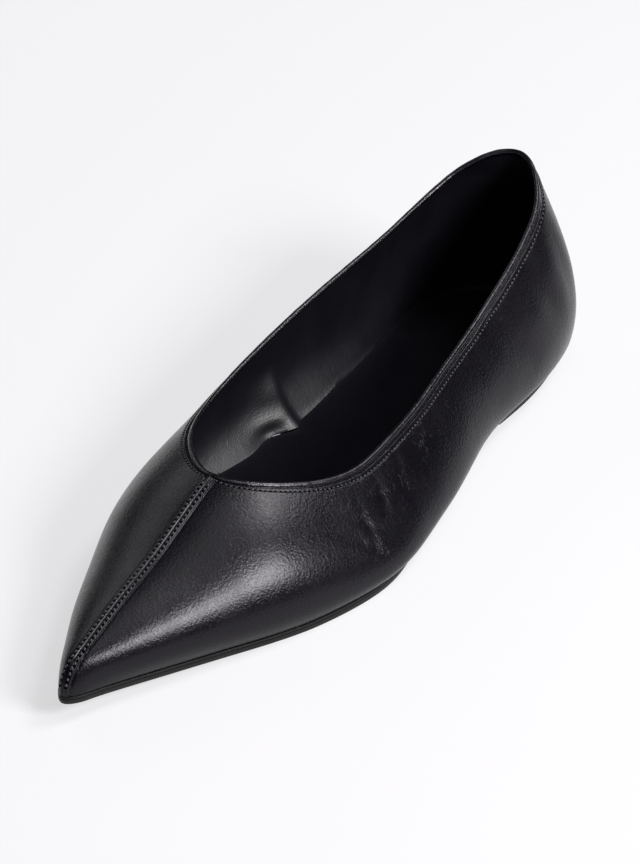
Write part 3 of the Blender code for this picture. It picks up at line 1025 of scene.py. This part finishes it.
@dataclass(frozen=True)
class LiningSlack:
    """Loose lining of the inner side: it hangs off its wall, with a pucker and a pocket, millimetres.

    Places are distances from the toe tip, and tops are heights above the feather line.
    """

    hang: float = 8.0
    hang_place: float = 160.0
    hang_reach: float = 48.0
    hang_top: float = 16.0
    pucker: float = 3.6
    pucker_place: float = 161.0
    pucker_ahead: float = 9.0
    pucker_behind: float = 2.2
    pucker_top: float = 24.0
    pucker_fade: float = 11.0
    pucker_foot: float = 3.0
    pocket: float = 0.45
    pocket_place: float = 151.0
    pocket_reach: float = 7.0
    pocket_top: float = 8.0
    pocket_fade: float = 5.0
    foot: float = 2.2
    foot_share: float = 0.05

    def at(self, y: np.ndarray, height: np.ndarray) -> np.ndarray:
        """How far the lining stands off its wall.

        Args:
            y: distance from the toe tip, metres.
            height: height above the feather line, metres.

        Returns:
            Distance towards the middle of the shoe, metres.
        """
        y, height = y * 1000, height * 1000
        hang = self.hang * bell(y - self.hang_place, self.hang_reach)
        hang *= np.clip(1.0 - height / self.hang_top, 0.0, 1.0) ** 2
        behind = y - self.pucker_place
        pucker = self.pucker * np.where(behind < 0.0, bell(behind, self.pucker_ahead),
                                        bell(behind, self.pucker_behind))
        pucker *= ease((self.pucker_top - height) / self.pucker_fade) * ease(height / self.pucker_foot)
        pocket = self.pocket * bell(y - self.pocket_place, self.pocket_reach)
        pocket *= ease((self.pocket_top - height) / self.pocket_fade)
        return (hang + pucker) * (1.0 - pocket) * ease(height / self.foot + self.foot_share) / 1000


@dataclass
class Upper:
    """Leather shell: outer face with the raised seam and creases, rims, and the lining face inside.

    Edge rows, drops and reaches are millimetres below the collar. A pair gives the depth and the width of a
    line pressed into the leather, in metres.
    """

    last: Last
    vamp_columns: int = 118
    throat_columns: int = 44
    quarter_columns: int = 120
    wall_rows: int = 46
    edge_rows: tuple = (4.2, 3.4, 2.9, 2.6, 2.4, 2.25, 2.1, 1.95, 1.8, 1.6, 1.4, 1.2, 1.0, 0.8, 0.6, 0.45,
                        0.32, 0.2, 0.1, 0.0)
    stitch_drop: float = 2.1
    stitch_aside: float = 0.00100
    groove: tuple[float, float] = (0.00050, 0.00026)
    channel: tuple[float, float] = (0.00022, 0.00034)
    foot_line: tuple[float, float] = (0.00030, 0.00022)
    foot_line_aside: float = 0.00012
    lip_depth: float = 0.00055
    lip_reach: float = 0.42
    lip_drop: float = 0.15
    row_depth: float = 0.00020
    row_reach: float = 0.36
    low_wall: float = 0.012
    wall_drop: float = 20.0
    calm_drop: float = 0.8
    calm_reach: float = 3.0
    lip_columns: int = 10
    crackle_aside: float = 8.0
    columns: dict = field(default_factory=dict)

    def wall_columns(self, side: Side) -> tuple:
        """Columns of points of one side, from the seam over the throat to the back of the heel.

        Args:
            side: the side of the shoe.

        Returns:
            Bottom time, top time and top level of each column.
        """
        if side not in self.columns:
            last = self.last
            throat = last.time_at(THROAT_SETBACK, 1.0)
            opened = last.time_at(THROAT_SETBACK + THROAT_LENGTH, 1.0)
            lean = VAMP_LEAN * (opened - throat)
            share = (np.arange(self.vamp_columns) / self.vamp_columns) ** TOE_CROWDING
            turn = np.arange(self.throat_columns) / self.throat_columns
            angle = turn * math.pi / 2
            run = np.linspace(opened, last.half, self.quarter_columns + 1)
            top = np.concatenate((share * throat, throat + (opened - throat) * (1.0 - np.cos(angle)), run))
            bottom = np.concatenate((share * (throat - lean), mix(throat - lean, opened, turn), run))
            rounding = np.concatenate((np.ones_like(share), 1.0 - np.sin(angle), np.zeros_like(run)))
            low = last.level_at(last.opposite(top, side), collar_height(top / last.half, side))
            level = np.where(rounding > ON_SEAM, 1.0, mix(low, 1.0, rounding))
            self.columns[side] = (bottom, top, level)
        return self.columns[side]

    def sheet(self, side: Side) -> tuple:
        """Smooth outer surface of one side.

        Args:
            side: the side of the shoe.

        Returns:
            Points and outward directions, columns by rows by three.
        """
        last = self.last
        bottom, top, top_level = self.wall_columns(side)
        fine = np.linspace(0.0, 1.0, COLUMN_SAMPLES)[None, :]
        time = mix(bottom[:, None], top[:, None], fine)
        path = last.point(last.opposite(time, side), top_level[:, None] * fine)
        run = np.linalg.norm(np.diff(path, axis=1), axis=2)
        reach = np.concatenate((np.zeros((len(top), 1)), np.cumsum(run, axis=1)), axis=1)
        rows = []
        for index in range(len(top)):
            total = reach[index, -1]
            edge = np.array(self.edge_rows) / 1000 * min(1.0, total / self.low_wall)
            low = np.linspace(0.0, total - edge[0], self.wall_rows, endpoint=False)
            rows.append(np.interp(np.concatenate((low, total - edge)), reach[index], fine[0]))
        share = np.array(rows)
        share[:, -1] = 1.0
        time = last.opposite(mix(bottom[:, None], top[:, None], share), side)
        level = top_level[:, None] * share
        ridge = level >= 1.0
        time = np.where(ridge, np.minimum(time, 2 * last.half - time), time)
        points, normals = last.point(time, level), last.normal(time, level)
        upright = unit(normals * (0.0, 1.0, 1.0))
        return points, np.where(ridge[..., None], upright, normals)

    def seam(self, aside: np.ndarray) -> np.ndarray:
        """Profile of the centre seam.

        Args:
            aside: distance of each point from the centre line.

        Returns:
            Height over the smooth surface.
        """
        height = SEAM_RISE * ease((SEAM_WIDTH / 2 - aside) / SEAM_SLOPE)
        for (depth, width), place in ((self.groove, 0.0), (self.channel, self.stitch_aside),
                                      (self.foot_line, SEAM_WIDTH / 2 + self.foot_line_aside)):
            height -= depth * bell(aside - place, width)
        return height

    def outer_face(self, side: Side) -> tuple:
        """Outer surface of one side with its seam, folds and lip.

        Args:
            side: the side of the shoe.

        Returns:
            Points and outward directions, columns by rows by three.
        """
        points, normals = self.sheet(side)
        lift = soft_waves(points)
        for fold in FOLDS:
            lift += fold.press(points, side)
        drop = np.array((self.wall_drop,) * self.wall_rows + self.edge_rows)[None, :]
        collar = np.zeros(len(points))
        collar[self.vamp_columns:] = ease(np.arange(len(points) - self.vamp_columns) / self.lip_columns)
        lip = (self.lip_depth * bell(drop - self.lip_drop, self.lip_reach)
               + self.row_depth * bell(drop - self.stitch_drop, self.row_reach))
        lift = lift * ease((drop + self.calm_drop) / self.calm_reach) - lip * collar[:, None]
        vamp = np.zeros(len(points))
        vamp[:self.vamp_columns + 1] = 1.0
        lift += self.seam(np.abs(points[..., 0])) * vamp[:, None]
        return points + normals * lift[..., None], normals

    def inner_face(self, side: Side) -> np.ndarray:
        """Lining surface of one side.

        Args:
            side: the side of the shoe.

        Returns:
            Points, columns by rows by three.
        """
        points, normals = self.sheet(side)
        inner = points - normals * UPPER_WALL
        if side is Side.INNER:
            slack = LiningSlack().at(points[..., 1], points[..., 2] - feather_height(points[..., 1]))
            inner -= level_part(normals) * slack[..., None]
        return inner

    def build(self, leather: bpy.types.Material, lining: bpy.types.Material) -> bpy.types.Object:
        """Make the shell and hand it over.

        Args:
            leather: material of the outside.
            lining: material of the inside.

        Returns:
            The upper.
        """
        piece = Piece("upper_leather", self.last.shift)
        for side in Side:
            flipped = side is Side.INNER
            outer, _ = self.outer_face(side)
            inner = self.inner_face(side)
            piece.add(outer, flipped)
            piece.add(inner, not flipped, 1)
            rim = np.stack((outer[self.vamp_columns:, -1], inner[self.vamp_columns:, -1]), axis=1)
            foot = np.stack((outer[:, 0], inner[:, 0]), axis=1)
            piece.add(rim, flipped)
            piece.add(foot, not flipped)
        made = piece.build([leather, lining])
        place = positions(made, self.last.shift) * 1000
        crackle = np.zeros(len(place))
        for side, y, z, along, up, strength in CRACKLE:
            near = np.exp(-((place[:, 1] - y) / along) ** 2 - ((place[:, 2] - z) / up) ** 2)
            crackle = np.maximum(crackle, strength * near * (place[:, 0] * side.value > self.crackle_aside))
        paint_number(made, "crackle", crackle)
        return made

    def collar_edge(self, drop: float = 0.0) -> tuple:
        """Closed line around the collar on the smooth outer surface.

        Args:
            drop: distance below the collar, millimetres.

        Returns:
            Points and the outward directions along them.
        """
        lines = []
        for side in Side:
            points, normals = self.sheet(side)
            row = -1 - int(np.argmin(np.abs(np.array(self.edge_rows)[::-1] - drop)))
            lines.append((points[self.vamp_columns:, row], normals[self.vamp_columns:, row]))
        (outer, out_normal), (inner, in_normal) = lines
        return (np.concatenate((outer, inner[-2:0:-1])), np.concatenate((out_normal, in_normal[-2:0:-1])))


@dataclass
class ToplineBinding:
    """Rolled strip of leather around the collar.

    Pucker and ripple are shares of its thickness, and their runs are in millimetres along the collar.
    """

    upper: Upper
    width: float = 0.00092
    height: float = 0.00105
    lift: float = 0.00105
    flatness: float = 0.85
    pucker: float = 0.035
    pucker_runs: tuple[float, float] = (0.9, 6.1)
    ripple: float = 0.02
    ripple_run: float = 2.3
    sides: int = 18

    def build(self, leather: bpy.types.Material) -> bpy.types.Object:
        """Sweep the roll around the collar.

        Args:
            leather: material of the strip.

        Returns:
            The binding.
        """
        points, normals = self.upper.collar_edge()
        ahead = unit(np.roll(points, -1, axis=0) - np.roll(points, 1, axis=0))
        upward = unit(np.cross(normals, ahead))
        upward[np.sum(upward * (0, 0, 1), axis=1) < 0] *= -1
        normals = unit(normals - ahead * np.sum(normals * ahead, axis=1, keepdims=True))
        run = np.concatenate(((0.0,), np.cumsum(np.linalg.norm(np.diff(points, axis=0), axis=1)))) * 1000
        short, long = self.pucker_runs
        pucker = (1.0 + self.pucker * np.sin(run / short) * np.sin(run / long)
                  + self.ripple * np.sin(run / self.ripple_run + 1.0))
        centre = points - normals * UPPER_WALL / 2 + upward * self.lift
        turn = np.linspace(0.0, 2 * math.pi, self.sides + 1)
        across = np.sign(np.cos(turn)) * np.abs(np.cos(turn)) ** self.flatness * self.width
        rise = np.sin(turn) * self.height
        ring = (centre[:, None] + normals[:, None] * (across[None, :, None] * pucker[:, None, None])
                + upward[:, None] * (rise[None, :, None] * pucker[:, None, None]))
        ring = np.concatenate((ring, ring[:1]))
        piece = Piece("topline_roll", self.upper.last.shift)
        piece.add(ring, flipped=True)
        return piece.build([leather])


class StitchTree:
    """Geometry nodes that lay a row of stitches along a line of edges and, between them, dark beads of
    painted shade for the needle holes.
    """

    def __init__(self) -> None:
        self.tree = bpy.data.node_groups.new("stitch_row", "GeometryNodeTree")
        self.sockets: dict[str, str] = {}
        for name, kind in (("Geometry", "NodeSocketGeometry"), ("Pitch", "NodeSocketFloat"),
                           ("Stitch", "NodeSocketVector"), ("Prick", "NodeSocketVector"),
                           ("Slant", "NodeSocketFloat"), ("Thread", "NodeSocketMaterial"),
                           ("HoleShade", "NodeSocketMaterial")):
            made = self.tree.interface.new_socket(name, in_out="INPUT", socket_type=kind)
            self.sockets[name] = made.identifier
        self.tree.interface.new_socket("Geometry", in_out="OUTPUT", socket_type="NodeSocketGeometry")
        self.entry = self.node("NodeGroupInput")
        self.assemble()

    def node(self, kind: str, settings: dict | None = None, inputs: dict | None = None) -> bpy.types.Node:
        """One node of the tree, made by add_node."""
        return add_node(self.tree, kind, settings, inputs)

    def rows(self, points: bpy.types.NodeSocket, shape: bpy.types.NodeSocket, scale: bpy.types.NodeSocket,
             turn: bpy.types.NodeSocket, material: bpy.types.NodeSocket) -> bpy.types.NodeSocket:
        """Copies of a shape on points, made real.

        Args:
            points: where the copies go.
            shape: the shape.
            scale: size of the copies.
            turn: their rotation.
            material: their material.

        Returns:
            The copies as one mesh.
        """
        copies = self.node("GeometryNodeInstanceOnPoints", None, {
            "Points": points, "Instance": shape, "Rotation": turn, "Scale": scale})
        real = self.node("GeometryNodeRealizeInstances", None, {"Geometry": copies.outputs[0]})
        smooth = self.node("GeometryNodeSetShadeSmooth", None, {"Geometry": real.outputs[0]})
        return self.node("GeometryNodeSetMaterial", None,
                         {"Geometry": smooth.outputs[0], "Material": material}).outputs[0]

    def assemble(self) -> None:
        """Wire the tree."""
        entry = self.entry.outputs
        curve = self.node("GeometryNodeMeshToCurve", None, {"Mesh": entry["Geometry"]})
        spaced = self.node("GeometryNodeResampleCurve", {"mode": "LENGTH"},
                           {"Curve": curve.outputs[0], "Length": entry["Pitch"]})
        ahead = self.node("GeometryNodeInputTangent").outputs[0]
        square = self.node("GeometryNodeInputNamedAttribute", {"data_type": "FLOAT_VECTOR"},
                           {"Name": "square"}).outputs["Attribute"]
        lined = self.node("FunctionNodeAlignRotationToVector", {"axis": "X"}, {"Vector": ahead})
        stood = self.node("FunctionNodeAlignRotationToVector", {"axis": "Z", "pivot_axis": "X"},
                          {"Rotation": lined.outputs[0], "Vector": square})
        wobble = self.node("FunctionNodeRandomValue", {"data_type": "FLOAT"},
                           {2: -STITCH_WOBBLE, 3: STITCH_WOBBLE, "Seed": STITCH_SEED}).outputs[1]
        slant = self.node("ShaderNodeMath", {"operation": "ADD"}, {0: wobble, 1: entry["Slant"]}).outputs[0]
        tilt = self.node("FunctionNodeAxisAngleToRotation", None, {"Axis": (0.0, 0.0, 1.0), "Angle": slant})
        turned = self.node("FunctionNodeRotateRotation", {"rotation_space": "LOCAL"},
                           {"Rotation": stood.outputs[0], "Rotate By": tilt.outputs[0]})
        bead = self.node("GeometryNodeMeshUVSphere", None, {"Segments": 8, "Rings": 5, "Radius": 1.0})
        thread = self.rows(spaced.outputs[0], bead.outputs[0], entry["Stitch"], turned.outputs[0],
                           entry["Thread"])
        half = self.node("ShaderNodeMath", {"operation": "MULTIPLY"}, {0: entry["Pitch"], 1: 0.5}).outputs[0]
        step = self.node("ShaderNodeVectorMath", {"operation": "SCALE"}, {0: ahead, "Scale": half}).outputs[0]
        moved = self.node("GeometryNodeSetPosition", None, {"Geometry": spaced.outputs[0], "Offset": step})
        # Between the stitches: beads in the hole material, painted shade that stands in for the needle holes.
        prick = self.node("GeometryNodeMeshUVSphere", None, {"Segments": 6, "Rings": 4, "Radius": 1.0})
        hole_shades = self.rows(moved.outputs[0], prick.outputs[0], entry["Prick"], stood.outputs[0], entry["HoleShade"])
        both = self.node("GeometryNodeJoinGeometry")
        self.tree.links.new(thread, both.inputs[0])
        self.tree.links.new(hole_shades, both.inputs[0])
        self.node("NodeGroupOutput", None, {"Geometry": both.outputs[0]})


@dataclass
class StitchRow:
    """One row of machine stitches."""

    name: str
    pitch: float
    stitch: tuple[float, float, float]
    prick: tuple[float, float, float]
    slant: float = 0.0

    def build(self, tree: StitchTree, points: np.ndarray, normals: np.ndarray, closed: bool,
              materials: tuple[bpy.types.Material, bpy.types.Material]) -> bpy.types.Object:
        """Lay the row along a line.

        Args:
            tree: the node group.
            points: line in the shoe's own place.
            normals: directions square to the leather along it.
            closed: whether the line runs back to its start.
            materials: thread, and the painted shade of the needle holes.

        Returns:
            The row as a plain mesh.
        """
        count = len(points)
        edges = [(index, index + 1) for index in range(count - 1)] + ([(count - 1, 0)] if closed else [])
        guide = bpy.data.meshes.new(self.name + "_guide")
        guide.from_pydata(points.tolist(), edges, [])
        layer = guide.attributes.new("square", "FLOAT_VECTOR", "POINT")
        layer.data.foreach_set("vector", normals.astype(np.float32).ravel())
        carrier = bpy.data.objects.new(self.name + "_guide", guide)
        bpy.context.scene.collection.objects.link(carrier)
        rows = carrier.modifiers.new("stitches", "NODES")
        rows.node_group = tree.tree
        for key, item in (("Pitch", self.pitch), ("Stitch", self.stitch), ("Prick", self.prick),
                          ("Slant", self.slant), ("Thread", materials[0]), ("HoleShade", materials[1])):
            rows[tree.sockets[key]] = item
        graph = bpy.context.evaluated_depsgraph_get()
        mesh = bpy.data.meshes.new_from_object(carrier.evaluated_get(graph), depsgraph=graph)
        mesh.name = self.name
        bpy.data.objects.remove(carrier, do_unlink=True)
        made = bpy.data.objects.new(self.name, mesh)
        bpy.context.scene.collection.objects.link(made)
        return made


@dataclass
class Stitching:
    """All the thread that shows: two rows beside the centre seam and one under the topline."""

    upper: Upper
    thread: bpy.types.Material
    # Material of the beads of painted shade in the needle holes.
    hole_shade: bpy.types.Material
    seam_pitch: float = 0.00185
    seam_stitch: tuple[float, float, float] = (0.00062, 0.00040, 0.00032)
    seam_prick: tuple[float, float, float] = (0.00038, 0.00052, 0.00034)
    seam_slant: float = 0.45
    seam_stand: float = 0.00012
    seam_foot: float = 0.0022
    topline_pitch: float = 0.00170
    topline_stitch: tuple[float, float, float] = (0.00058, 0.00026, 0.00024)
    topline_prick: tuple[float, float, float] = (0.00034, 0.00034, 0.00026)
    topline_sink: float = 0.00006

    def seam_line(self, aside: float) -> tuple:
        """Line beside the centre seam from the throat over the toe, on the dressed surface.

        Args:
            aside: distance from the centre line, negative on the inner side.

        Returns:
            Points and the directions square to the leather.
        """
        side = Side.OUTER if aside > 0 else Side.INNER
        points, normals = self.upper.outer_face(side)
        points, normals = points[:self.upper.vamp_columns], normals[:self.upper.vamp_columns]
        line, square = [], []
        for column, lean in zip(points[::-1], normals[::-1]):
            away = np.abs(column[::-1, 0])
            if away.max() > abs(aside):
                where = int(np.argmax(away > abs(aside)))
                share = (abs(aside) - away[where - 1]) / (away[where] - away[where - 1]) if where else 0.0
                line.append(mix(column[::-1][where - 1], column[::-1][where], share))
                square.append(mix(lean[::-1][where - 1], lean[::-1][where], share))
        line, square = np.array(line), unit(np.array(square))
        keep = line[:, 2] > feather_height(line[:, 1]) + self.seam_foot
        return line[keep][2:], square[keep][2:]

    def build(self) -> list[bpy.types.Object]:
        """Lay every row.

        Returns:
            The rows: beside the seam on the outer and the inner side, then under the topline.
        """
        tree = StitchTree()
        shift = self.upper.last.shift
        looks = (self.thread, self.hole_shade)
        made = []
        for name, side in (("seam_stitches_outer", Side.OUTER), ("seam_stitches_inner", Side.INNER)):
            line, square = self.seam_line(side.value * self.upper.stitch_aside)
            row = StitchRow(name, self.seam_pitch, self.seam_stitch, self.seam_prick,
                            side.value * self.seam_slant)
            made.append(row.build(tree, line + shift + square * self.seam_stand, square, False, looks))
        line, square = self.upper.collar_edge(self.upper.stitch_drop)
        row = StitchRow("topline_stitches", self.topline_pitch, self.topline_stitch, self.topline_prick)
        made.append(row.build(tree, line + shift - square * self.topline_sink, square, True, looks))
        return made


@dataclass
class Sock:
    """Thin padded sock that covers the insole and meets the lining all around.

    A reach is how far in from the edge a form fades, in millimetres.
    """

    last: Last
    gap: float = 0.00012
    height: float = 0.0026
    curl: float = 0.0007
    curl_reach: float = 1.6
    wrinkle: float = 0.00012
    wrinkle_turns: tuple[float, float, float] = (520.0, 240.0, 310.0)
    wrinkle_reach: float = 4.0
    underside: float = 0.0002
    undercut: float = 0.12
    undercut_reach: float = 8.0
    cells: int = 26
    steps: int = 170

    def rims(self) -> list[np.ndarray]:
        """Edges of the sock along the lining.

        Returns:
            Points from the toe to the back of the heel, for the outer and the inner side.
        """
        last = self.last
        share = np.arange(self.steps + 1) / self.steps
        times = last.half * (1.0 - np.cos(share * math.pi)) / 2
        rims = []
        for side in Side:
            time = last.opposite(times, side)
            level = last.level_at(time, np.full_like(time, self.height))
            rim = last.point(time, level)
            outward = last.normal(time, level)
            slack = LiningSlack().at(rim[:, 1], np.full(len(rim), self.height)) * (side is Side.INNER)
            rims.append(rim - outward * (UPPER_WALL + self.gap) - level_part(outward) * slack[:, None])
        return rims

    def build(self, material: bpy.types.Material) -> bpy.types.Object:
        """Make the sheet, curled up at its edge and closed underneath.

        Args:
            material: its leather.

        Returns:
            The sock.
        """
        rims = self.rims()
        cell = np.linspace(0.0, 1.0, self.cells + 1)
        spread = (1.0 - np.cos(cell * math.pi)) / 2
        top = mix(rims[0][:, None], rims[1][:, None], spread[None, :, None])
        width = np.linalg.norm(rims[0] - rims[1], axis=1)[:, None]
        away = np.minimum(spread[None, :], 1.0 - spread[None, :]) * width * 1000
        floor = feather_height(top[..., 1])
        lifted = self.curl * np.exp(-away / self.curl_reach)
        along, across, second = self.wrinkle_turns
        wrinkle = (self.wrinkle * np.sin(top[..., 1] * along + top[..., 0] * across)
                   * np.sin(top[..., 0] * second + 0.7))
        top[..., 2] = floor + INSOLE_THICKNESS + lifted + wrinkle * ease(away / self.wrinkle_reach)
        under = top.copy()
        under[..., 2] = floor + self.underside
        under[..., 0] = mix(top[..., 0], top[..., 0].mean(1, keepdims=True),
                            self.undercut * ease(1 - away / self.undercut_reach))
        piece = Piece("sock_lining", self.last.shift)
        piece.add(top)
        piece.add(under, flipped=True)
        piece.add(np.stack((under[:, 0], top[:, 0]), axis=1))
        piece.add(np.stack((under[:, -1], top[:, -1]), axis=1), flipped=True)
        return piece.build([material], 60.0)


@dataclass
class SolePlate:
    """Plate cut to the feather outline with a moulded edge: the outsole or the heel."""

    last: Last
    name: str
    start: float
    rim: tuple
    cells: int = 30
    steps: int = 190

    def rounded(self, share: np.ndarray) -> np.ndarray:
        """Shares crowded towards the rounded ends.

        Args:
            share: even shares of the way along the plate.

        Returns:
            The crowded shares.
        """
        if self.start > 0.0:
            return np.sin(share * math.pi / 2)
        return (1.0 - np.cos(share * math.pi)) / 2

    def base(self, y: np.ndarray) -> np.ndarray:
        """Height of the plate's underside."""
        return sole_height(y)

    def bevel(self, height: float) -> float:
        """Share of the bevel of the waist and heel that lies outside a height above the underside."""
        return 1.0 - min(height / OUTSOLE_THICKNESS, 1.0)

    def lines(self, inset: float, height: float) -> np.ndarray:
        """Points across the plate at one row of its rim profile.

        Args:
            inset: distance inside the edge.
            height: height above the underside.

        Returns:
            Points, steps by cells by three.
        """
        def drawn(y: np.ndarray) -> np.ndarray:
            """Inset at a distance from the toe tip."""
            return sole_inset(y) + SOLE_BEVEL * drawn_in(y) * self.bevel(height) + inset

        times = mix(self.start, self.last.half, self.rounded(np.arange(self.steps + 1) / self.steps))
        outer = self.last.outline(times, drawn)
        inner = self.last.outline(self.last.opposite(times, Side.INNER), drawn)
        cell = np.linspace(0.0, 1.0, self.cells + 1)
        flat = mix(outer[:, None], inner[:, None], cell[None, :, None])
        return np.concatenate((flat, (self.base(flat[..., 1]) + height)[..., None]), axis=-1)

    def build(self, material: bpy.types.Material) -> bpy.types.Object:
        """Close the plate around its rim profile, from the underside up to the top.

        Args:
            material: its rubber.

        Returns:
            The plate.
        """
        rows = [self.lines(inset / 1000, height / 1000) for inset, height in self.rim]
        piece = Piece(self.name, self.last.shift)
        piece.add(rows[0], flipped=True)
        piece.add(rows[-1])
        piece.add(np.stack([row[:, 0] for row in rows], axis=1))
        piece.add(np.stack([row[:, -1] for row in rows], axis=1), flipped=True)
        if self.start > 0.0:
            piece.add(np.stack([row[0] for row in rows], axis=1), flipped=True)
        made = piece.build([material], 35.0)
        place = positions(made, self.last.shift)
        under = (place[:, 2] - self.base(place[:, 1]) < UNDERSIDE_BAND).astype(float)
        paint_number(made, "underside", under)
        return made


class Outsole(SolePlate):
    """Thin outsole with a rounded edge and one fine moulded line."""


class Heel(SolePlate):
    """Low heel block under the bevelled edge of the outsole."""

    def bevel(self, height: float) -> float:
        """The block starts where the bevel ends, and tapers a little downwards."""
        return 1.0 + HEEL_TAPER / SOLE_BEVEL * (1.0 - height / HEEL_HEIGHT)

    def base(self, y: np.ndarray) -> np.ndarray:
        """The block stands on the ground."""
        return np.zeros_like(y)


@dataclass
class Studio:
    """Pale floor, soft lights and the camera."""

    eye: tuple = (0.7566, -1.1076, 0.9734)
    target: tuple = (-0.0005, 0.0005, 0.030)
    roll: float = -0.869
    lens: float = 213.0
    clip: tuple[float, float] = (0.05, 50.0)
    reach: float = 6.0
    world_colour: tuple = (0.98, 0.99, 1.0, 1.0)
    world_light: float = 0.05

    def floor(self, finish: StudioFloor) -> bpy.types.Object:
        """Large white floor with its edge far outside the view.

        Args:
            finish: its paper.

        Returns:
            The floor.
        """
        piece = Piece("studio_floor", np.zeros(3))
        side = np.linspace(-self.reach, self.reach, 9)
        piece.add(np.stack(np.meshgrid(side, side, [0.0], indexing="ij"), axis=-1)[:, :, 0])
        made = piece.build([finish.material()])
        return made

    @staticmethod
    def lamp(name: str, azimuth: float, elevation: float, away: float, width: float, height: float,
             power: float) -> bpy.types.Object:
        """Soft box that looks at the shoe.

        Args:
            name: name of the light.
            azimuth: degrees from the toe's side, towards the outer side.
            elevation: degrees above the floor.
            away: distance from the shoe.
            width: width of the box.
            height: height of the box.
            power: watts.

        Returns:
            The light.
        """
        data = bpy.data.lights.new(name, "AREA")
        data.shape = "RECTANGLE"
        data.size, data.size_y = width, height
        data.energy = power
        made = bpy.data.objects.new(name, data)
        around, up = math.radians(azimuth), math.radians(elevation)
        back = Vector((math.sin(around) * math.cos(up), -math.cos(around) * math.cos(up), math.sin(up)))
        made.location = back * away
        made.rotation_mode = "QUATERNION"
        made.rotation_quaternion = back.to_track_quat("Z", "Y")
        bpy.context.scene.collection.objects.link(made)
        return made

    def lights(self) -> None:
        """Key box on the outer side, ceiling, a small box behind, and a weak fill on the inner side."""
        for row in LAMPS:
            self.lamp(*row)
        world = bpy.data.worlds.new("studio")
        world.use_nodes = True
        sky = world.node_tree.nodes["Background"].inputs
        sky["Color"].default_value = self.world_colour
        sky["Strength"].default_value = self.world_light
        bpy.context.scene.world = world
        bpy.context.scene.view_settings.view_transform = "Standard"

    def camera(self) -> bpy.types.Object:
        """Long lens from above the outer side of the toe.

        Returns:
            The camera.
        """
        data = bpy.data.cameras.new("camera")
        data.lens = self.lens
        data.clip_start, data.clip_end = self.clip
        made = bpy.data.objects.new("camera", data)
        eye = Vector(self.eye)
        back = (eye - Vector(self.target)).normalized()
        right = Vector((0.0, 0.0, 1.0)).cross(back).normalized()
        up = back.cross(right)
        turn = math.radians(self.roll)
        side = right * math.cos(turn) + up * math.sin(turn)
        matrix = Matrix((side, back.cross(side), back)).transposed().to_4x4()
        matrix.translation = eye
        made.matrix_world = matrix
        bpy.context.scene.collection.objects.link(made)
        bpy.context.scene.camera = made
        return made


def main() -> None:
    """Build the shoe's visible pieces in order, then the studio."""
    logging.basicConfig(level=logging.INFO, format="%(message)s")
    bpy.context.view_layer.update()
    last = Last()
    calf = SmoothLeather().material()
    roll_calf = SmoothLeather(name="binding_calf", roughness=0.25, grain=0.0004, shine=0.42).material()
    lining = Lining().material()
    thread = Thread().material()
    # Needle holes: near-black, unreflective beads that paint the shade inside the holes.
    hole_shade = Thread(name="stitch_hole_shade", colour=(0.0006, 0.0006, 0.0008), roughness=0.8, shine=0.02).material()
    upper = Upper(last)
    dress(upper.build(calf, lining), "upper_leather", "upper")
    dress(ToplineBinding(upper).build(roll_calf), "binding_leather", "topline_binding")
    for row in Stitching(upper, thread, hole_shade).build():
        dress(row, "upper_leather")
    sock_calf = Lining(name="black_sock", pale=(0.0042, 0.0036, 0.0062), roughness=0.50, shine=0.07)
    dress(Sock(last).build(sock_calf.material()), "insole_lining", "insole")
    outsole = Outsole(last, "outsole_plate", 0.0, OUTSOLE_RIM)
    dress(outsole.build(SoleRubber(tread=1.0).material()), "outsole_rubber", "outsole")
    heel = Heel(last, "heel_block", last.time_at(HEEL_FRONT * LENGTH, 0.0), HEEL_RIM, steps=90)
    heel_rubber = SoleRubber(name="black_heel_rubber", roughness=0.54, tread=0.8).material()
    dress(heel.build(heel_rubber), "heel_rubber", "heel")
    studio = Studio()
    studio.floor(StudioFloor())
    studio.lights()
    studio.camera()


if __name__ == "__main__":
    main()
